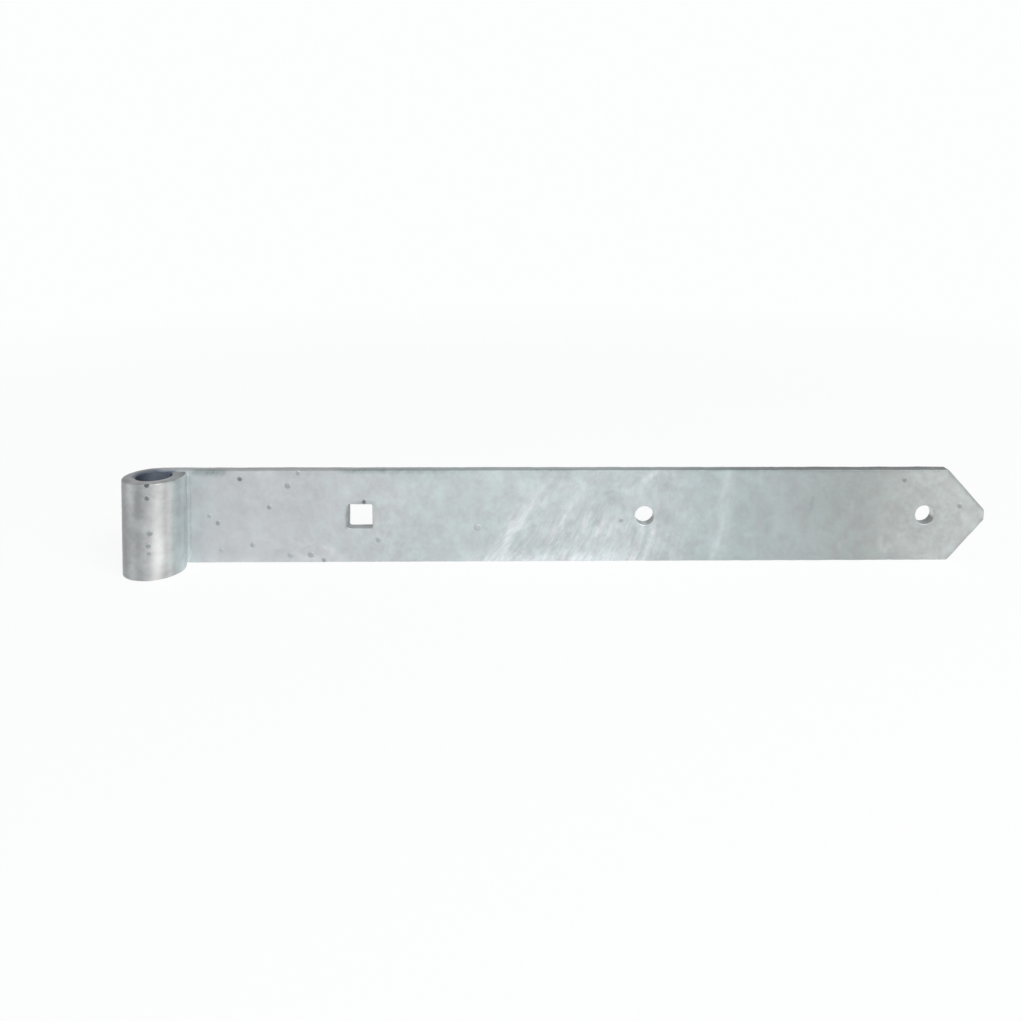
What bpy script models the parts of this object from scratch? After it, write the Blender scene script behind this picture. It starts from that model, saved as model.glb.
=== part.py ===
"""Shutter strap hinge: a flat steel bar with a pointed end, whose other end is rolled into an eye.

The eye drops over an upright pintle pin, and the bar is bolted along the shutter. The whole hinge
is one piece of bar. X runs along the bar from the eye to the point, Y from the side that the eye
stands out on to the back, and Z up along the eye's axis. The origin is on that axis, at the eye's
lower end. Sizes are in metres.
"""

import math

import bmesh
import bpy

MM = 0.001

# The bar, before and after its end is rolled
BAR_WIDTH = 45.0 * MM
BAR_THICKNESS = 6.0 * MM
REACH = 400.0 * MM  # from the eye's axis to the tip

# The rolled eye
EYE_BORE = 16.0 * MM
SEAM_GAP = 0.4 * MM  # what the rolled end leaves open against the bar, outside
SEAM_MOUTH = 2.0 * MM  # the same, where the seam opens into the bore
SEAM_ROUND = 0.9 * MM  # rounding of the rolled end's two corners

# The pointed end
POINT_LENGTH = 18.0 * MM
POINT_BLUNT = 5.0 * MM  # height of the blunt cut at the tip
POINT_CORNER = 1.2 * MM  # rounding of the blunt cut's two corners

# The fixing holes
SQUARE_HOLE = 11.5 * MM
SQUARE_HOLE_CORNER = 0.8 * MM
SQUARE_HOLE_REACH = 95.0 * MM  # from the eye's axis
ROUND_HOLE = 9.0 * MM
TIP_HOLE_SETBACK = 29.5 * MM  # from the tip

# The worn, zinc-coated edges
EDGE_ROUND = 0.6 * MM
EDGE_STEPS = 3
EDGE_ANGLE = math.radians(35.0)

# How finely rounds are cut
STEPS_PER_TURN = 120
HOLE_STEPS = 60
CORNER_STEPS = 6

CUTTER_MARGIN = 5.0 * MM
FLATNESS = math.radians(0.1)  # faces that differ by less are one flat face
WELD = 0.01 * MM

ZINC_COLOUR = (0.60, 0.63, 0.63, 1.0)
ZINC_METALLIC = 0.75
ZINC_ROUGHNESS = 0.42

EYE_INNER_RADIUS = EYE_BORE / 2
EYE_OUTER_RADIUS = EYE_INNER_RADIUS + BAR_THICKNESS
FRONT_FACE = EYE_INNER_RADIUS
BACK_FACE = EYE_OUTER_RADIUS
MID_HEIGHT = BAR_WIDTH / 2
MID_THICKNESS = (FRONT_FACE + BACK_FACE) / 2


def clear_scene():
    for obj in list(bpy.data.objects):
        bpy.data.objects.remove(obj, do_unlink=True)


def new_collection(name):
    collection = bpy.data.collections.new(name)
    bpy.context.scene.collection.children.link(collection)
    return collection


def zinc_material():
    """Hot-dip zinc on steel, weathered to a satin grey."""
    material = bpy.data.materials.new("hot_dip_zinc")
    material.use_nodes = True
    shader = material.node_tree.nodes["Principled BSDF"]
    shader.inputs["Base Color"].default_value = ZINC_COLOUR
    shader.inputs["Metallic"].default_value = ZINC_METALLIC
    shader.inputs["Roughness"].default_value = ZINC_ROUGHNESS
    material.diffuse_color = ZINC_COLOUR
    return material


def arc(radius, start, end, steps, centre=(0.0, 0.0)):
    """Points along a stretch of a circle, both ends included."""
    points = []
    for step in range(steps + 1):
        angle = start + (end - start) * step / steps
        points.append((centre[0] + radius * math.cos(angle), centre[1] + radius * math.sin(angle)))
    return points


def rounded_corner(before, corner, after, radius):
    """The arc that rounds one corner of an outline, from its first tangent point to its last."""
    ways = []
    for x, y in (before, after):
        length = math.hypot(x - corner[0], y - corner[1])
        ways.append(((x - corner[0]) / length, (y - corner[1]) / length))
    (ax, ay), (bx, by) = ways
    half = math.acos(ax * bx + ay * by) / 2
    middle = math.hypot(ax + bx, ay + by)
    out = radius / math.sin(half)
    centre = (corner[0] + out * (ax + bx) / middle, corner[1] + out * (ay + by) / middle)
    back = radius / math.tan(half)
    start = math.atan2(corner[1] + back * ay - centre[1], corner[0] + back * ax - centre[0])
    end = math.atan2(corner[1] + back * by - centre[1], corner[0] + back * bx - centre[0])
    turn = (end - start + math.pi) % (2 * math.pi) - math.pi
    return arc(radius, start, start + turn, CORNER_STEPS, centre)


def rounded_outline(corners):
    """A closed outline through (x, y, radius) corners, each with its rounding."""
    outline = []
    for index, (x, y, radius) in enumerate(corners):
        if radius:
            before = corners[index - 1][:2]
            after = corners[(index + 1) % len(corners)][:2]
            outline += rounded_corner(before, (x, y), after, radius)
        else:
            outline.append((x, y))
    return outline


def extruded_outline(name, outline, depth, collection):
    """A closed outline given depth along Z, centred on its plane, as a mesh whose flat faces are whole."""
    curve = bpy.data.curves.new(name, "CURVE")
    curve.dimensions = "2D"
    curve.fill_mode = "BOTH"
    curve.extrude = depth / 2
    spline = curve.splines.new("POLY")
    spline.points.add(len(outline) - 1)
    for point, (x, y) in zip(spline.points, outline):
        point.co = (x, y, 0.0, 1.0)
    spline.use_cyclic_u = True
    drawn = bpy.data.objects.new(name + "_outline", curve)
    collection.objects.link(drawn)

    depsgraph = bpy.context.evaluated_depsgraph_get()
    mesh = bpy.data.meshes.new_from_object(drawn.evaluated_get(depsgraph))
    mesh.name = name
    bpy.data.objects.remove(drawn, do_unlink=True)
    bpy.data.curves.remove(curve)

    shape = bmesh.new()
    shape.from_mesh(mesh)
    bmesh.ops.remove_doubles(shape, verts=shape.verts, dist=WELD)
    bmesh.ops.dissolve_limit(shape, angle_limit=FLATNESS, verts=shape.verts, edges=shape.edges)
    bmesh.ops.recalc_face_normals(shape, faces=shape.faces)
    shape.to_mesh(mesh)
    shape.free()

    obj = bpy.data.objects.new(name, mesh)
    collection.objects.link(obj)
    return obj


def eye_arc(radius, start, end):
    """A stretch of the eye's circle, cut as finely as the whole turn."""
    steps = round(STEPS_PER_TURN * abs(end - start) / (2 * math.pi))
    return arc(radius, start, end, steps)


def rolled_bar_outline():
    """The bar seen edge on: along its back, round the eye to the cut end, and back round the bore."""
    outer_y = EYE_INNER_RADIUS - SEAM_GAP
    inner_y = EYE_INNER_RADIUS - SEAM_MOUTH
    outer_x = math.sqrt(EYE_OUTER_RADIUS**2 - outer_y**2)
    inner_x = math.sqrt(EYE_INNER_RADIUS**2 - inner_y**2)
    end_tilt = math.atan2(outer_y - inner_y, outer_x - inner_x)
    end_height = outer_y * math.cos(end_tilt) - outer_x * math.sin(end_tilt)

    # Each corner of the cut end is rounded by a circle that touches the end and one of the eye's circles
    corner_height = end_height - SEAM_ROUND
    outer_reach = EYE_OUTER_RADIUS - SEAM_ROUND
    inner_reach = EYE_INNER_RADIUS + SEAM_ROUND
    outer_angle = end_tilt + math.asin(corner_height / outer_reach)
    inner_angle = end_tilt + math.asin(corner_height / inner_reach)
    outer_centre = (outer_reach * math.cos(outer_angle), outer_reach * math.sin(outer_angle))
    inner_centre = (inner_reach * math.cos(inner_angle), inner_reach * math.sin(inner_angle))
    end_facing = end_tilt + math.pi / 2

    leaves_bar = math.pi / 2
    full_turn = 2 * math.pi
    outline = [(REACH, BACK_FACE)]
    outline += eye_arc(EYE_OUTER_RADIUS, leaves_bar, full_turn + outer_angle)
    outline += arc(SEAM_ROUND, outer_angle, end_facing, CORNER_STEPS, outer_centre)[1:]
    outline += arc(SEAM_ROUND, end_facing, inner_angle + math.pi, CORNER_STEPS, inner_centre)
    outline += eye_arc(EYE_INNER_RADIUS, full_turn + inner_angle, leaves_bar)[1:]
    outline.append((REACH, FRONT_FACE))
    return outline


def as_cutter(obj):
    obj.hide_render = True
    obj.display_type = "WIRE"
    return obj


def face_cutter(name, outline, collection):
    """A cutter right through the bar, from an outline drawn on its face."""
    cutter = extruded_outline(name, outline, BAR_THICKNESS + 2 * CUTTER_MARGIN, collection)
    cutter.rotation_euler = (math.radians(90.0), 0.0, 0.0)
    cutter.location = (0.0, MID_THICKNESS, 0.0)
    return as_cutter(cutter)


def point_cutter(collection):
    """What is sheared off the bar's end to leave a blunt point."""
    shoulder = REACH - POINT_LENGTH
    beyond = REACH + CUTTER_MARGIN
    over = BAR_WIDTH + CUTTER_MARGIN
    under = -CUTTER_MARGIN
    outline = rounded_outline(
        [
            (shoulder, BAR_WIDTH, 0.0),
            (REACH, MID_HEIGHT + POINT_BLUNT / 2, POINT_CORNER),
            (REACH, MID_HEIGHT - POINT_BLUNT / 2, POINT_CORNER),
            (shoulder, 0.0, 0.0),
            (shoulder, under, 0.0),
            (beyond, under, 0.0),
            (beyond, over, 0.0),
            (shoulder, over, 0.0),
        ]
    )
    return face_cutter("point_cutter", outline, collection)


def square_hole_cutter(collection):
    """The square hole, which keeps a carriage bolt from turning."""
    half = SQUARE_HOLE / 2
    outline = rounded_outline(
        [
            (SQUARE_HOLE_REACH + x * half, MID_HEIGHT + z * half, SQUARE_HOLE_CORNER)
            for x, z in ((-1, -1), (1, -1), (1, 1), (-1, 1))
        ]
    )
    return face_cutter("square_hole_cutter", outline, collection)


def round_hole_cutter(name, reach, collection):
    bpy.ops.mesh.primitive_cylinder_add(
        vertices=HOLE_STEPS,
        radius=ROUND_HOLE / 2,
        depth=BAR_THICKNESS + 2 * CUTTER_MARGIN,
        location=(reach, MID_THICKNESS, MID_HEIGHT),
        rotation=(math.radians(90.0), 0.0, 0.0),
    )
    cutter = bpy.context.object
    cutter.name = name
    for holder in list(cutter.users_collection):
        holder.objects.unlink(cutter)
    collection.objects.link(cutter)
    return as_cutter(cutter)


def cut(obj, cutter):
    boolean = obj.modifiers.new(cutter.name, "BOOLEAN")
    boolean.operation = "DIFFERENCE"
    boolean.solver = "EXACT"
    boolean.object = cutter


def round_edges(obj):
    """Every sharp edge, the holes' rims included, gets the small round of a galvanised bar."""
    bevel = obj.modifiers.new("rounded_edges", "BEVEL")
    bevel.width = EDGE_ROUND
    bevel.segments = EDGE_STEPS
    bevel.limit_method = "ANGLE"
    bevel.angle_limit = EDGE_ANGLE
    bevel.use_clamp_overlap = False
    bevel.loop_slide = False
    normals = obj.modifiers.new("flat_faces_stay_flat", "WEIGHTED_NORMAL")
    normals.keep_sharp = True


def strap(parts, cutters):
    """The whole hinge: rolled, pointed and pierced."""
    bar = extruded_outline("strap", rolled_bar_outline(), BAR_WIDTH, parts)
    bar.location = (0.0, 0.0, MID_HEIGHT)
    tip_hole_reach = REACH - TIP_HOLE_SETBACK
    middle_hole_reach = (SQUARE_HOLE_REACH + tip_hole_reach) / 2
    cut(bar, point_cutter(cutters))
    cut(bar, square_hole_cutter(cutters))
    cut(bar, round_hole_cutter("middle_hole_cutter", middle_hole_reach, cutters))
    cut(bar, round_hole_cutter("tip_hole_cutter", tip_hole_reach, cutters))
    bar.data.shade_smooth()
    bar.data.set_sharp_from_angle(angle=EDGE_ANGLE)
    round_edges(bar)
    bar.data.materials.append(zinc_material())
    return bar


def main():
    clear_scene()
    parts = new_collection("shutter_strap_hinge")
    cutters = new_collection("cutters")
    strap(parts, cutters)


main()
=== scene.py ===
"""Dresses the shutter strap hinge in its hot-dip zinc and lights it as on a pale studio floor.

The bar is built flat, as the blank that the blacksmith starts from, and Geometry Nodes roll its end
into the eye and lay the uneven zinc skin over it. Every point keeps its place on the flat blank as
an attribute, so that the zinc's runs and streaks follow the metal round the eye. Sizes are in
metres. X runs along the bar from the eye's axis to the point, Y from the front to the back, and Z
up along the eye's axis.
"""

import math

import bmesh
import bpy
import numpy as np
from mathutils import Matrix, Vector, noise
from mathutils.geometry import delaunay_2d_cdt


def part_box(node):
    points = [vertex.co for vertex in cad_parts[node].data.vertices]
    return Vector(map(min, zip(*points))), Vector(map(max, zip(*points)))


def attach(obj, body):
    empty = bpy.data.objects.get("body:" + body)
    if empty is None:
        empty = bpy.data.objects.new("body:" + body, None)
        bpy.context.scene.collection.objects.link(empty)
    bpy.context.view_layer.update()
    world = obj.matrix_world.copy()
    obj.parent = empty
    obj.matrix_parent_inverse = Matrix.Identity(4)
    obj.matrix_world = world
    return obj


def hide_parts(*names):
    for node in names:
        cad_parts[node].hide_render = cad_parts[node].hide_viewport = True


bl_info = {
    "name": "Galvanised strap hinge",
    "version": (1, 0, 0),
    "blender": (4, 5, 0),
    "location": "3D View > Sidebar > Strap hinge",
    "description": "Builds a rolled-eye strap hinge with its hot-dip zinc finish",
    "category": "Add Mesh",
}

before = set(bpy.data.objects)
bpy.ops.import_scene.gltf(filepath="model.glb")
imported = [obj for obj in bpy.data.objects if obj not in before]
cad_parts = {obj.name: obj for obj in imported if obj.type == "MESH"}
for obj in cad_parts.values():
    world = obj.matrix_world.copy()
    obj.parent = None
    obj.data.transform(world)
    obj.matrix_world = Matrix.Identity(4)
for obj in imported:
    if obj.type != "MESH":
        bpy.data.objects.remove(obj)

MM = 0.001
BODY = "root"
STRAP_NODE = "strap"

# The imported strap's box gives the bar's width, its reach and the eye; the eye's axis is at the origin
LOW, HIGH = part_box(STRAP_NODE)
BAR_WIDTH = HIGH.z - LOW.z
EYE_OUTER_RADIUS = HIGH.y
REACH = HIGH.x
MID_HEIGHT = BAR_WIDTH / 2

# How finely the blank is meshed
FACE_STEP = 0.87 * MM
FACE_CLEAR = 0.45 * FACE_STEP  # between the edge's rounding and the first points of the face
EDGE_STEP = 0.90 * MM
ROUND_STEPS = 4
WALL_STEPS = 5

# How the zinc leaves the bar's edges
EDGE_BAND = 0.95 * MM  # how far in from an edge its rounding may reach
EDGE_ROUND = 0.55 * MM
ROUND_VARIES = 0.30 * MM
EDGE_STRAY = 0.06 * MM  # how far an edge strays from a straight line
WAVES, RIPPLES = 90, 420  # how often the rounding varies, in noise cells per metre
SHOULDER_ROUND = 1.3 * MM
EYE_ROUND_MORE = 0.10 * MM  # the eye's outer edges are stretched by the rolling, and so rounder
EYE_FADE = 5 * MM  # the length over which a strap's edge turns into the eye's
END_PLAIN = 2 * MM  # the length of the cut end that keeps the strap's edges
END_LEAN = 8 * MM  # the length at the cut end that leans with it

# How worn the cut edges are, from -1, pale and smooth, to 1, rough and dark; the paleness below 0 is
# painted light, and part of the dark is painted shade
FRONT_WEAR = 0.75  # how rough the front of a cut edge is, next to its back
# How the wear dies away over a rounded edge: below 1 it reaches further on to the face; the front's low
# value lays painted shade over the highlight of its rounding
HOLE_WEAR_FADES, FRONT_WEAR_FADES, BACK_WEAR_FADES = 1.3, 0.4, 0.6
LOWER_EDGE_SHARPER = 0.3
# painted reflection of the floor: edges that face down are made paler
LOWER_EDGE_PAINTED_LIGHT = 1.3  # at the strap's front
LOWER_EDGE_PAINTED_LIGHT_BEHIND = 0.75  # at its back, and on the eye
# the eye's ring takes painted light on its outer side about here
RING_FRONT, RING_FRONT_REACH = -39 * MM, 12 * MM  # where the eye's ring faces the front
# painted light on some hole walls, and painted shade on the lower walls of round holes
SQUARE_HOLE_PAINTED_LIGHT = 0.7  # on its left wall
ROUND_HOLE_WEAR_AND_LIGHT = ((-0.6, 1.0, 0.55), (-1.0, 0.62, 0.0))  # palest, roughest, and how pale at its foot
SHADED_WALL = (0.14, -0.99)  # towards the roughest part of a round hole's wall
SHADED_WALL_FROM, SHADED_WALL_FADE, FOOT_HALF_WIDTH = 0.2, 0.4, 0.45


def smooth(t):
    return t * t * (3 - 2 * t)


# The flat blank


class Column:
    """A place on an edge of the blank: where it is, the way into the metal, and the edge's rounding."""

    def __init__(self, place, inwards, seed):
        self.place = Vector(place)
        self.inwards = Vector(inwards)
        x, z = self.place
        wave = noise.noise(Vector((x * WAVES, z * WAVES, seed)))
        ripple = noise.noise(Vector((x * RIPPLES, z * RIPPLES, seed + 7)))
        self.round = EDGE_ROUND + ROUND_VARIES * (0.7 * wave + 0.3 * ripple)
        self.stray = EDGE_STRAY * (0.5 + 0.3 * wave + 0.2 * ripple)
        # how worn the edge is; later set lower as painted light on some edges, and kept high as painted
        # shade on round holes' lower walls
        self.worn = (1.0, 1.0)  # at the blank's front and at its back

    def point(self, setback, depth):
        x, z = self.place + self.inwards * (self.stray + setback)
        return (x, depth, z)


def corner_arc(before, corner, after, radius):
    """The centre, first angle and turn of the arc that rounds a corner of an outline."""
    way_in = (Vector(before) - Vector(corner)).normalized()
    way_out = (Vector(after) - Vector(corner)).normalized()
    half = way_in.angle(way_out) / 2
    centre = Vector(corner) + (way_in + way_out).normalized() * radius / math.sin(half)
    start = Vector(corner) + way_in * radius / math.tan(half) - centre
    end = Vector(corner) + way_out * radius / math.tan(half) - centre
    first = math.atan2(start.y, start.x)
    turn = (math.atan2(end.y, end.x) - first + math.pi) % math.tau - math.pi
    return centre, first, turn


def on_circle(centre, radius, angle):
    return centre + Vector((math.cos(angle), math.sin(angle))) * radius


def outline_columns(corners, hole, seed):
    """Evenly spaced columns round an anticlockwise outline of (x, z, radius) corners."""
    side = 1 if hole else -1
    arcs = []
    for index, (x, z, radius) in enumerate(corners):
        before = corners[index - 1][:2]
        after = corners[(index + 1) % len(corners)][:2]
        arcs.append((*corner_arc(before, (x, z), after, radius), radius))
    columns = []
    for index, (centre, first, turn, radius) in enumerate(arcs):
        steps = max(3, round(abs(turn) * radius / EDGE_STEP))
        for step in range(steps):
            place = on_circle(centre, radius, first + turn * step / steps)
            columns.append(Column(place, (place - centre).normalized() * side, seed))
        start = on_circle(centre, radius, first + turn)
        next_centre, next_first, _, next_radius = arcs[(index + 1) % len(arcs)]
        way = on_circle(next_centre, next_radius, next_first) - start
        outwards = Vector((way.y, -way.x)).normalized()
        steps = max(1, round(way.length / EDGE_STEP))
        for step in range(steps):
            columns.append(Column(start + way * (step / steps), outwards * side, seed))
    return columns


def round_hole_columns(reach, radius, seed):
    centre = Vector((reach, MID_HEIGHT))
    steps = round(math.tau * (radius + EDGE_BAND) / EDGE_STEP)
    places = [on_circle(centre, radius, math.tau * step / steps) for step in range(steps)]
    return [Column(place, (place - centre).normalized(), seed) for place in places]


def within_rims(places, rims):
    """Whether each place is in the metal, from how often a line from it along the bar crosses a rim."""
    x, z = places[:, :1], places[:, 1:]
    ax, az, bx, bz = rims.T
    passes = (az > z) != (bz > z)
    on_left = (bx - ax) * (z - az) - (bz - az) * (x - ax) > 0
    return (passes & (on_left == (bz > az))).sum(axis=1) % 2 == 1


def wall_faces(rows, hole):
    """Quads between the rows of an edge, facing out of the metal."""
    faces = []
    for upper, lower in zip(rows, rows[1:]):
        for i in range(len(upper)):
            j = (i + 1) % len(upper)
            face = (upper[i], upper[j], lower[j], lower[i])
            faces.append(face if hole else face[::-1])
    return faces


class Blank:
    """The flat bar before its end is rolled, as one closed mesh in blank coordinates."""

    def __init__(self, bar):
        self.bar = bar
        self.front = EYE_OUTER_RADIUS - bar.thickness
        self.back = EYE_OUTER_RADIUS
        self.mid = (self.front + self.back) / 2
        self.tip_hole = REACH - bar.tip_hole_setback
        self.middle_hole = (bar.square_hole_reach + self.tip_hole) / 2
        outer_y = self.front - bar.seam_gap
        inner_y = self.front - bar.seam_mouth
        outer_x = math.sqrt(self.back**2 - outer_y**2)
        inner_x = math.sqrt(self.front**2 - inner_y**2)
        self.end_tilt = math.atan2(outer_y - inner_y, outer_x - inner_x)
        self.end_height = outer_y * math.cos(self.end_tilt) - outer_x * math.sin(self.end_tilt)
        self.rolled = self.mid * self.end_turn(self.mid)

    def end_turn(self, depth):
        """How far round the eye the bar's straight-cut end is, this far from the eye's axis."""
        return math.tau + self.end_tilt + math.asin(self.end_height / depth) - math.pi / 2

    def corners(self):
        shoulder = REACH - self.bar.point_length
        half_blunt = self.bar.point_blunt / 2
        return [
            (-self.rolled, 0.0, EDGE_BAND + EDGE_STRAY),
            (shoulder, 0.0, SHOULDER_ROUND),
            (REACH, MID_HEIGHT - half_blunt, SHOULDER_ROUND),
            (REACH, MID_HEIGHT + half_blunt, SHOULDER_ROUND),
            (shoulder, BAR_WIDTH, SHOULDER_ROUND),
            (-self.rolled, BAR_WIDTH, EDGE_BAND + EDGE_STRAY),
        ]

    def loops(self):
        """Every edge loop, with whether it is a hole."""
        half = self.bar.square_hole / 2
        reach = self.bar.square_hole_reach
        square = [
            (reach + x * half, MID_HEIGHT + z * half, self.bar.square_hole_corner)
            for x, z in ((-1, -1), (1, -1), (1, 1), (-1, 1))
        ]
        radius = self.bar.round_hole / 2
        outline = outline_columns(self.corners(), False, 1)
        for column in outline:
            # edges that face down are painted paler, a painted reflection of the floor, and the outer
            # side of the eye's ring in front takes painted light
            ring_front_light = smooth(max(0.0, 1 - abs(column.place.x - RING_FRONT) / RING_FRONT_REACH))
            facing_down = max(column.inwards.y, 0.0)
            column.round *= 1 - LOWER_EDGE_SHARPER * facing_down
            edge_painted_light = LOWER_EDGE_PAINTED_LIGHT if column.place.x > 0 else LOWER_EDGE_PAINTED_LIGHT_BEHIND
            behind = (1 - LOWER_EDGE_PAINTED_LIGHT_BEHIND * facing_down) * (1 - ring_front_light)
            column.worn = (1 - edge_painted_light * facing_down, behind)
        square_hole = outline_columns(square, True, 2)
        # painted light on one wall of the square hole
        for column in square_hole:
            column.worn = (1 - SQUARE_HOLE_PAINTED_LIGHT * max(column.inwards.x, 0.0),) * 2
        holes = [
            square_hole,
            round_hole_columns(self.middle_hole, radius, 3),
            round_hole_columns(self.tip_hole, radius, 4),
        ]
        # a round hole's lower wall is rough and dark, its dark being painted shade, and its upper wall
        # is pale as painted light, with a pale run at the middle hole's foot
        for columns, (palest, roughest_and_shaded, pale_foot) in zip(holes[1:], ROUND_HOLE_WEAR_AND_LIGHT):
            for column in columns:
                downwards = column.inwards @ Vector(SHADED_WALL)
                low = float(smooth(np.clip((downwards - SHADED_WALL_FROM) / SHADED_WALL_FADE, 0, 1)))
                at_foot = smooth(max(0.0, 1 - abs(column.inwards.x) / FOOT_HALF_WIDTH))
                column.worn = (palest + (roughest_and_shaded - palest - pale_foot * at_foot) * low,) * 2
        return [(outline, False)] + [(hole, True) for hole in holes]

    def eye_share(self, x):
        """How much a place along the blank belongs to the rolled eye, short of its cut end."""
        into_eye = smooth(np.clip(-x / EYE_FADE, 0, 1))
        from_end = smooth(np.clip((x + self.rolled - END_PLAIN) / EYE_FADE, 0, 1))
        return into_eye * from_end

    def band(self, x):
        """How far in from an edge its rounding may reach, at this place along the blank."""
        return EDGE_BAND + EYE_ROUND_MORE * self.eye_share(x)

    def room(self, x, z):
        """How far each place on the flat face lies from the nearest edge, negative past it."""
        places = [corner[:2] for corner in self.corners()]
        room = np.full(x.shape, np.inf)
        for (ax, az), (bx, bz) in zip(places, places[1:] + places[:1]):
            length = math.hypot(bx - ax, bz - az)
            room = np.minimum(room, ((bx - ax) * (z - az) - (bz - az) * (x - ax)) / length)
        from_middle = abs(z - MID_HEIGHT)
        from_square = np.maximum(abs(x - self.bar.square_hole_reach), from_middle)
        room = np.minimum(room, from_square - self.bar.square_hole / 2)
        for reach in (self.middle_hole, self.tip_hole):
            room = np.minimum(room, np.hypot(x - reach, from_middle) - self.bar.round_hole / 2)
        return room

    def face_points(self):
        """A triangular lattice of places over the flat face, clear of its edges."""
        row_step = FACE_STEP * math.sqrt(3) / 2
        rows = np.arange(row_step, BAR_WIDTH, row_step)
        x, z = np.meshgrid(np.arange(-self.rolled, REACH, FACE_STEP), rows)
        x = x + np.where(np.arange(len(rows)) % 2, FACE_STEP / 2, 0.0)[:, None]
        keep = self.room(x, z) > self.band(x) + EDGE_STRAY + FACE_CLEAR
        return np.stack([x[keep], z[keep]], axis=1)

    def face_triangles(self, loops):
        """The flat face's places, rims first, and the triangles that join them."""
        plan = []
        links = []
        for columns, _ in loops:
            first = len(plan)
            for column in columns:
                plan.append(Vector(column.point(float(self.band(column.place.x)), 0.0)).xz)
            links += [(first + i, first + (i + 1) % len(columns)) for i in range(len(columns))]
        rim_count = len(plan)
        plan += [Vector(place) for place in self.face_points()]
        places, _, faces, sources, _, _ = delaunay_2d_cdt(plan, links, [], 0, 1e-9, True)
        if len(places) != len(plan):
            raise RuntimeError("the strap's outlines touch each other, so its face can't be meshed")
        triangles = np.array([[sources[v][0] for v in face] for face in faces])
        flat = np.array(plan)
        rims = np.hstack([flat[[a for a, _ in links]], flat[[b for _, b in links]]])
        kept = (triangles >= rim_count).any(axis=1)
        kept[~kept] = within_rims(flat[triangles[~kept]].mean(axis=1), rims)
        return plan, triangles[kept].tolist()

    def edge_points(self, column, hole):
        """Over an edge, front to back: (how far in from it, the depth, how worn, painted light and
        shade included) at each point.
        """
        share = 0.0 if hole else float(self.eye_share(column.place.x))
        behind = BACK_WEAR_FADES + (1 - BACK_WEAR_FADES) * share
        sides = []
        for face, way, radius, spread in (
            (self.front, 1, column.round, HOLE_WEAR_FADES if hole else FRONT_WEAR_FADES),
            (self.back, -1, column.round + EYE_ROUND_MORE * share, behind),
        ):
            side = []
            for step in range(ROUND_STEPS + 1):
                angle = math.pi / 2 * step / ROUND_STEPS
                depth = face + way * radius * (1 - math.cos(angle))
                side.append((radius * (1 - math.sin(angle)), depth, (step / ROUND_STEPS) ** spread))
            sides.append(side)
        front, back = sides
        front = [(setback, depth, FRONT_WEAR * share) for setback, depth, share in front]
        wall = []
        for step in range(1, WALL_STEPS):
            down = step / WALL_STEPS
            depth = front[-1][1] + (back[-1][1] - front[-1][1]) * down
            wall.append((0.0, depth, FRONT_WEAR + (1 - FRONT_WEAR) * down))
        return front + wall + back[::-1]

    def mesh(self):
        """The closed blank: its points, its faces, and how far each point is on a worn cut edge, with
        painted light and shade on some edges.
        """
        loops = self.loops()
        plan, triangles = self.face_triangles(loops)
        points = [(x, self.front, z) for x, z in plan] + [(x, self.back, z) for x, z in plan]
        worn = [0.0] * len(points)
        faces = [tuple(face) for face in triangles]
        faces += [tuple(len(plan) + v for v in reversed(face)) for face in triangles]
        first = 0
        for columns, hole in loops:
            rim = range(first, first + len(columns))
            rows = [list(rim)]
            for row in zip(*(self.edge_points(column, hole) for column in columns)):
                rows.append(list(range(len(points), len(points) + len(columns))))
                for column, (setback, depth, share) in zip(columns, row):
                    points.append(column.point(setback, depth))
                    down = (depth - self.front) / self.bar.thickness
                    worn.append(share * (column.worn[0] * (1 - down) + column.worn[1] * down))
            rows.append([len(plan) + v for v in rim])
            faces += wall_faces(rows, hole)
            first += len(columns)
        return self.lean_end(np.array(points)), faces, np.array(worn)

    def lean_end(self, points):
        """Leans the cut end, so that once rolled it lies straight from the bore to the outside."""
        x = points[:, 0]
        turned = np.array([self.end_turn(depth) for depth in points[:, 1]])
        share = smooth(np.clip(1 - (x + self.rolled) / END_LEAN, 0, 1))
        points[:, 0] = x - (self.mid * turned - self.rolled) * share
        return points


# The zinc's tone, with painted light and shade in places, laid out on the blank in millimetres along
# the bar and up it


SOFT_EDGE = 1.5  # how far a stroke fades out, next to its half width

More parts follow.
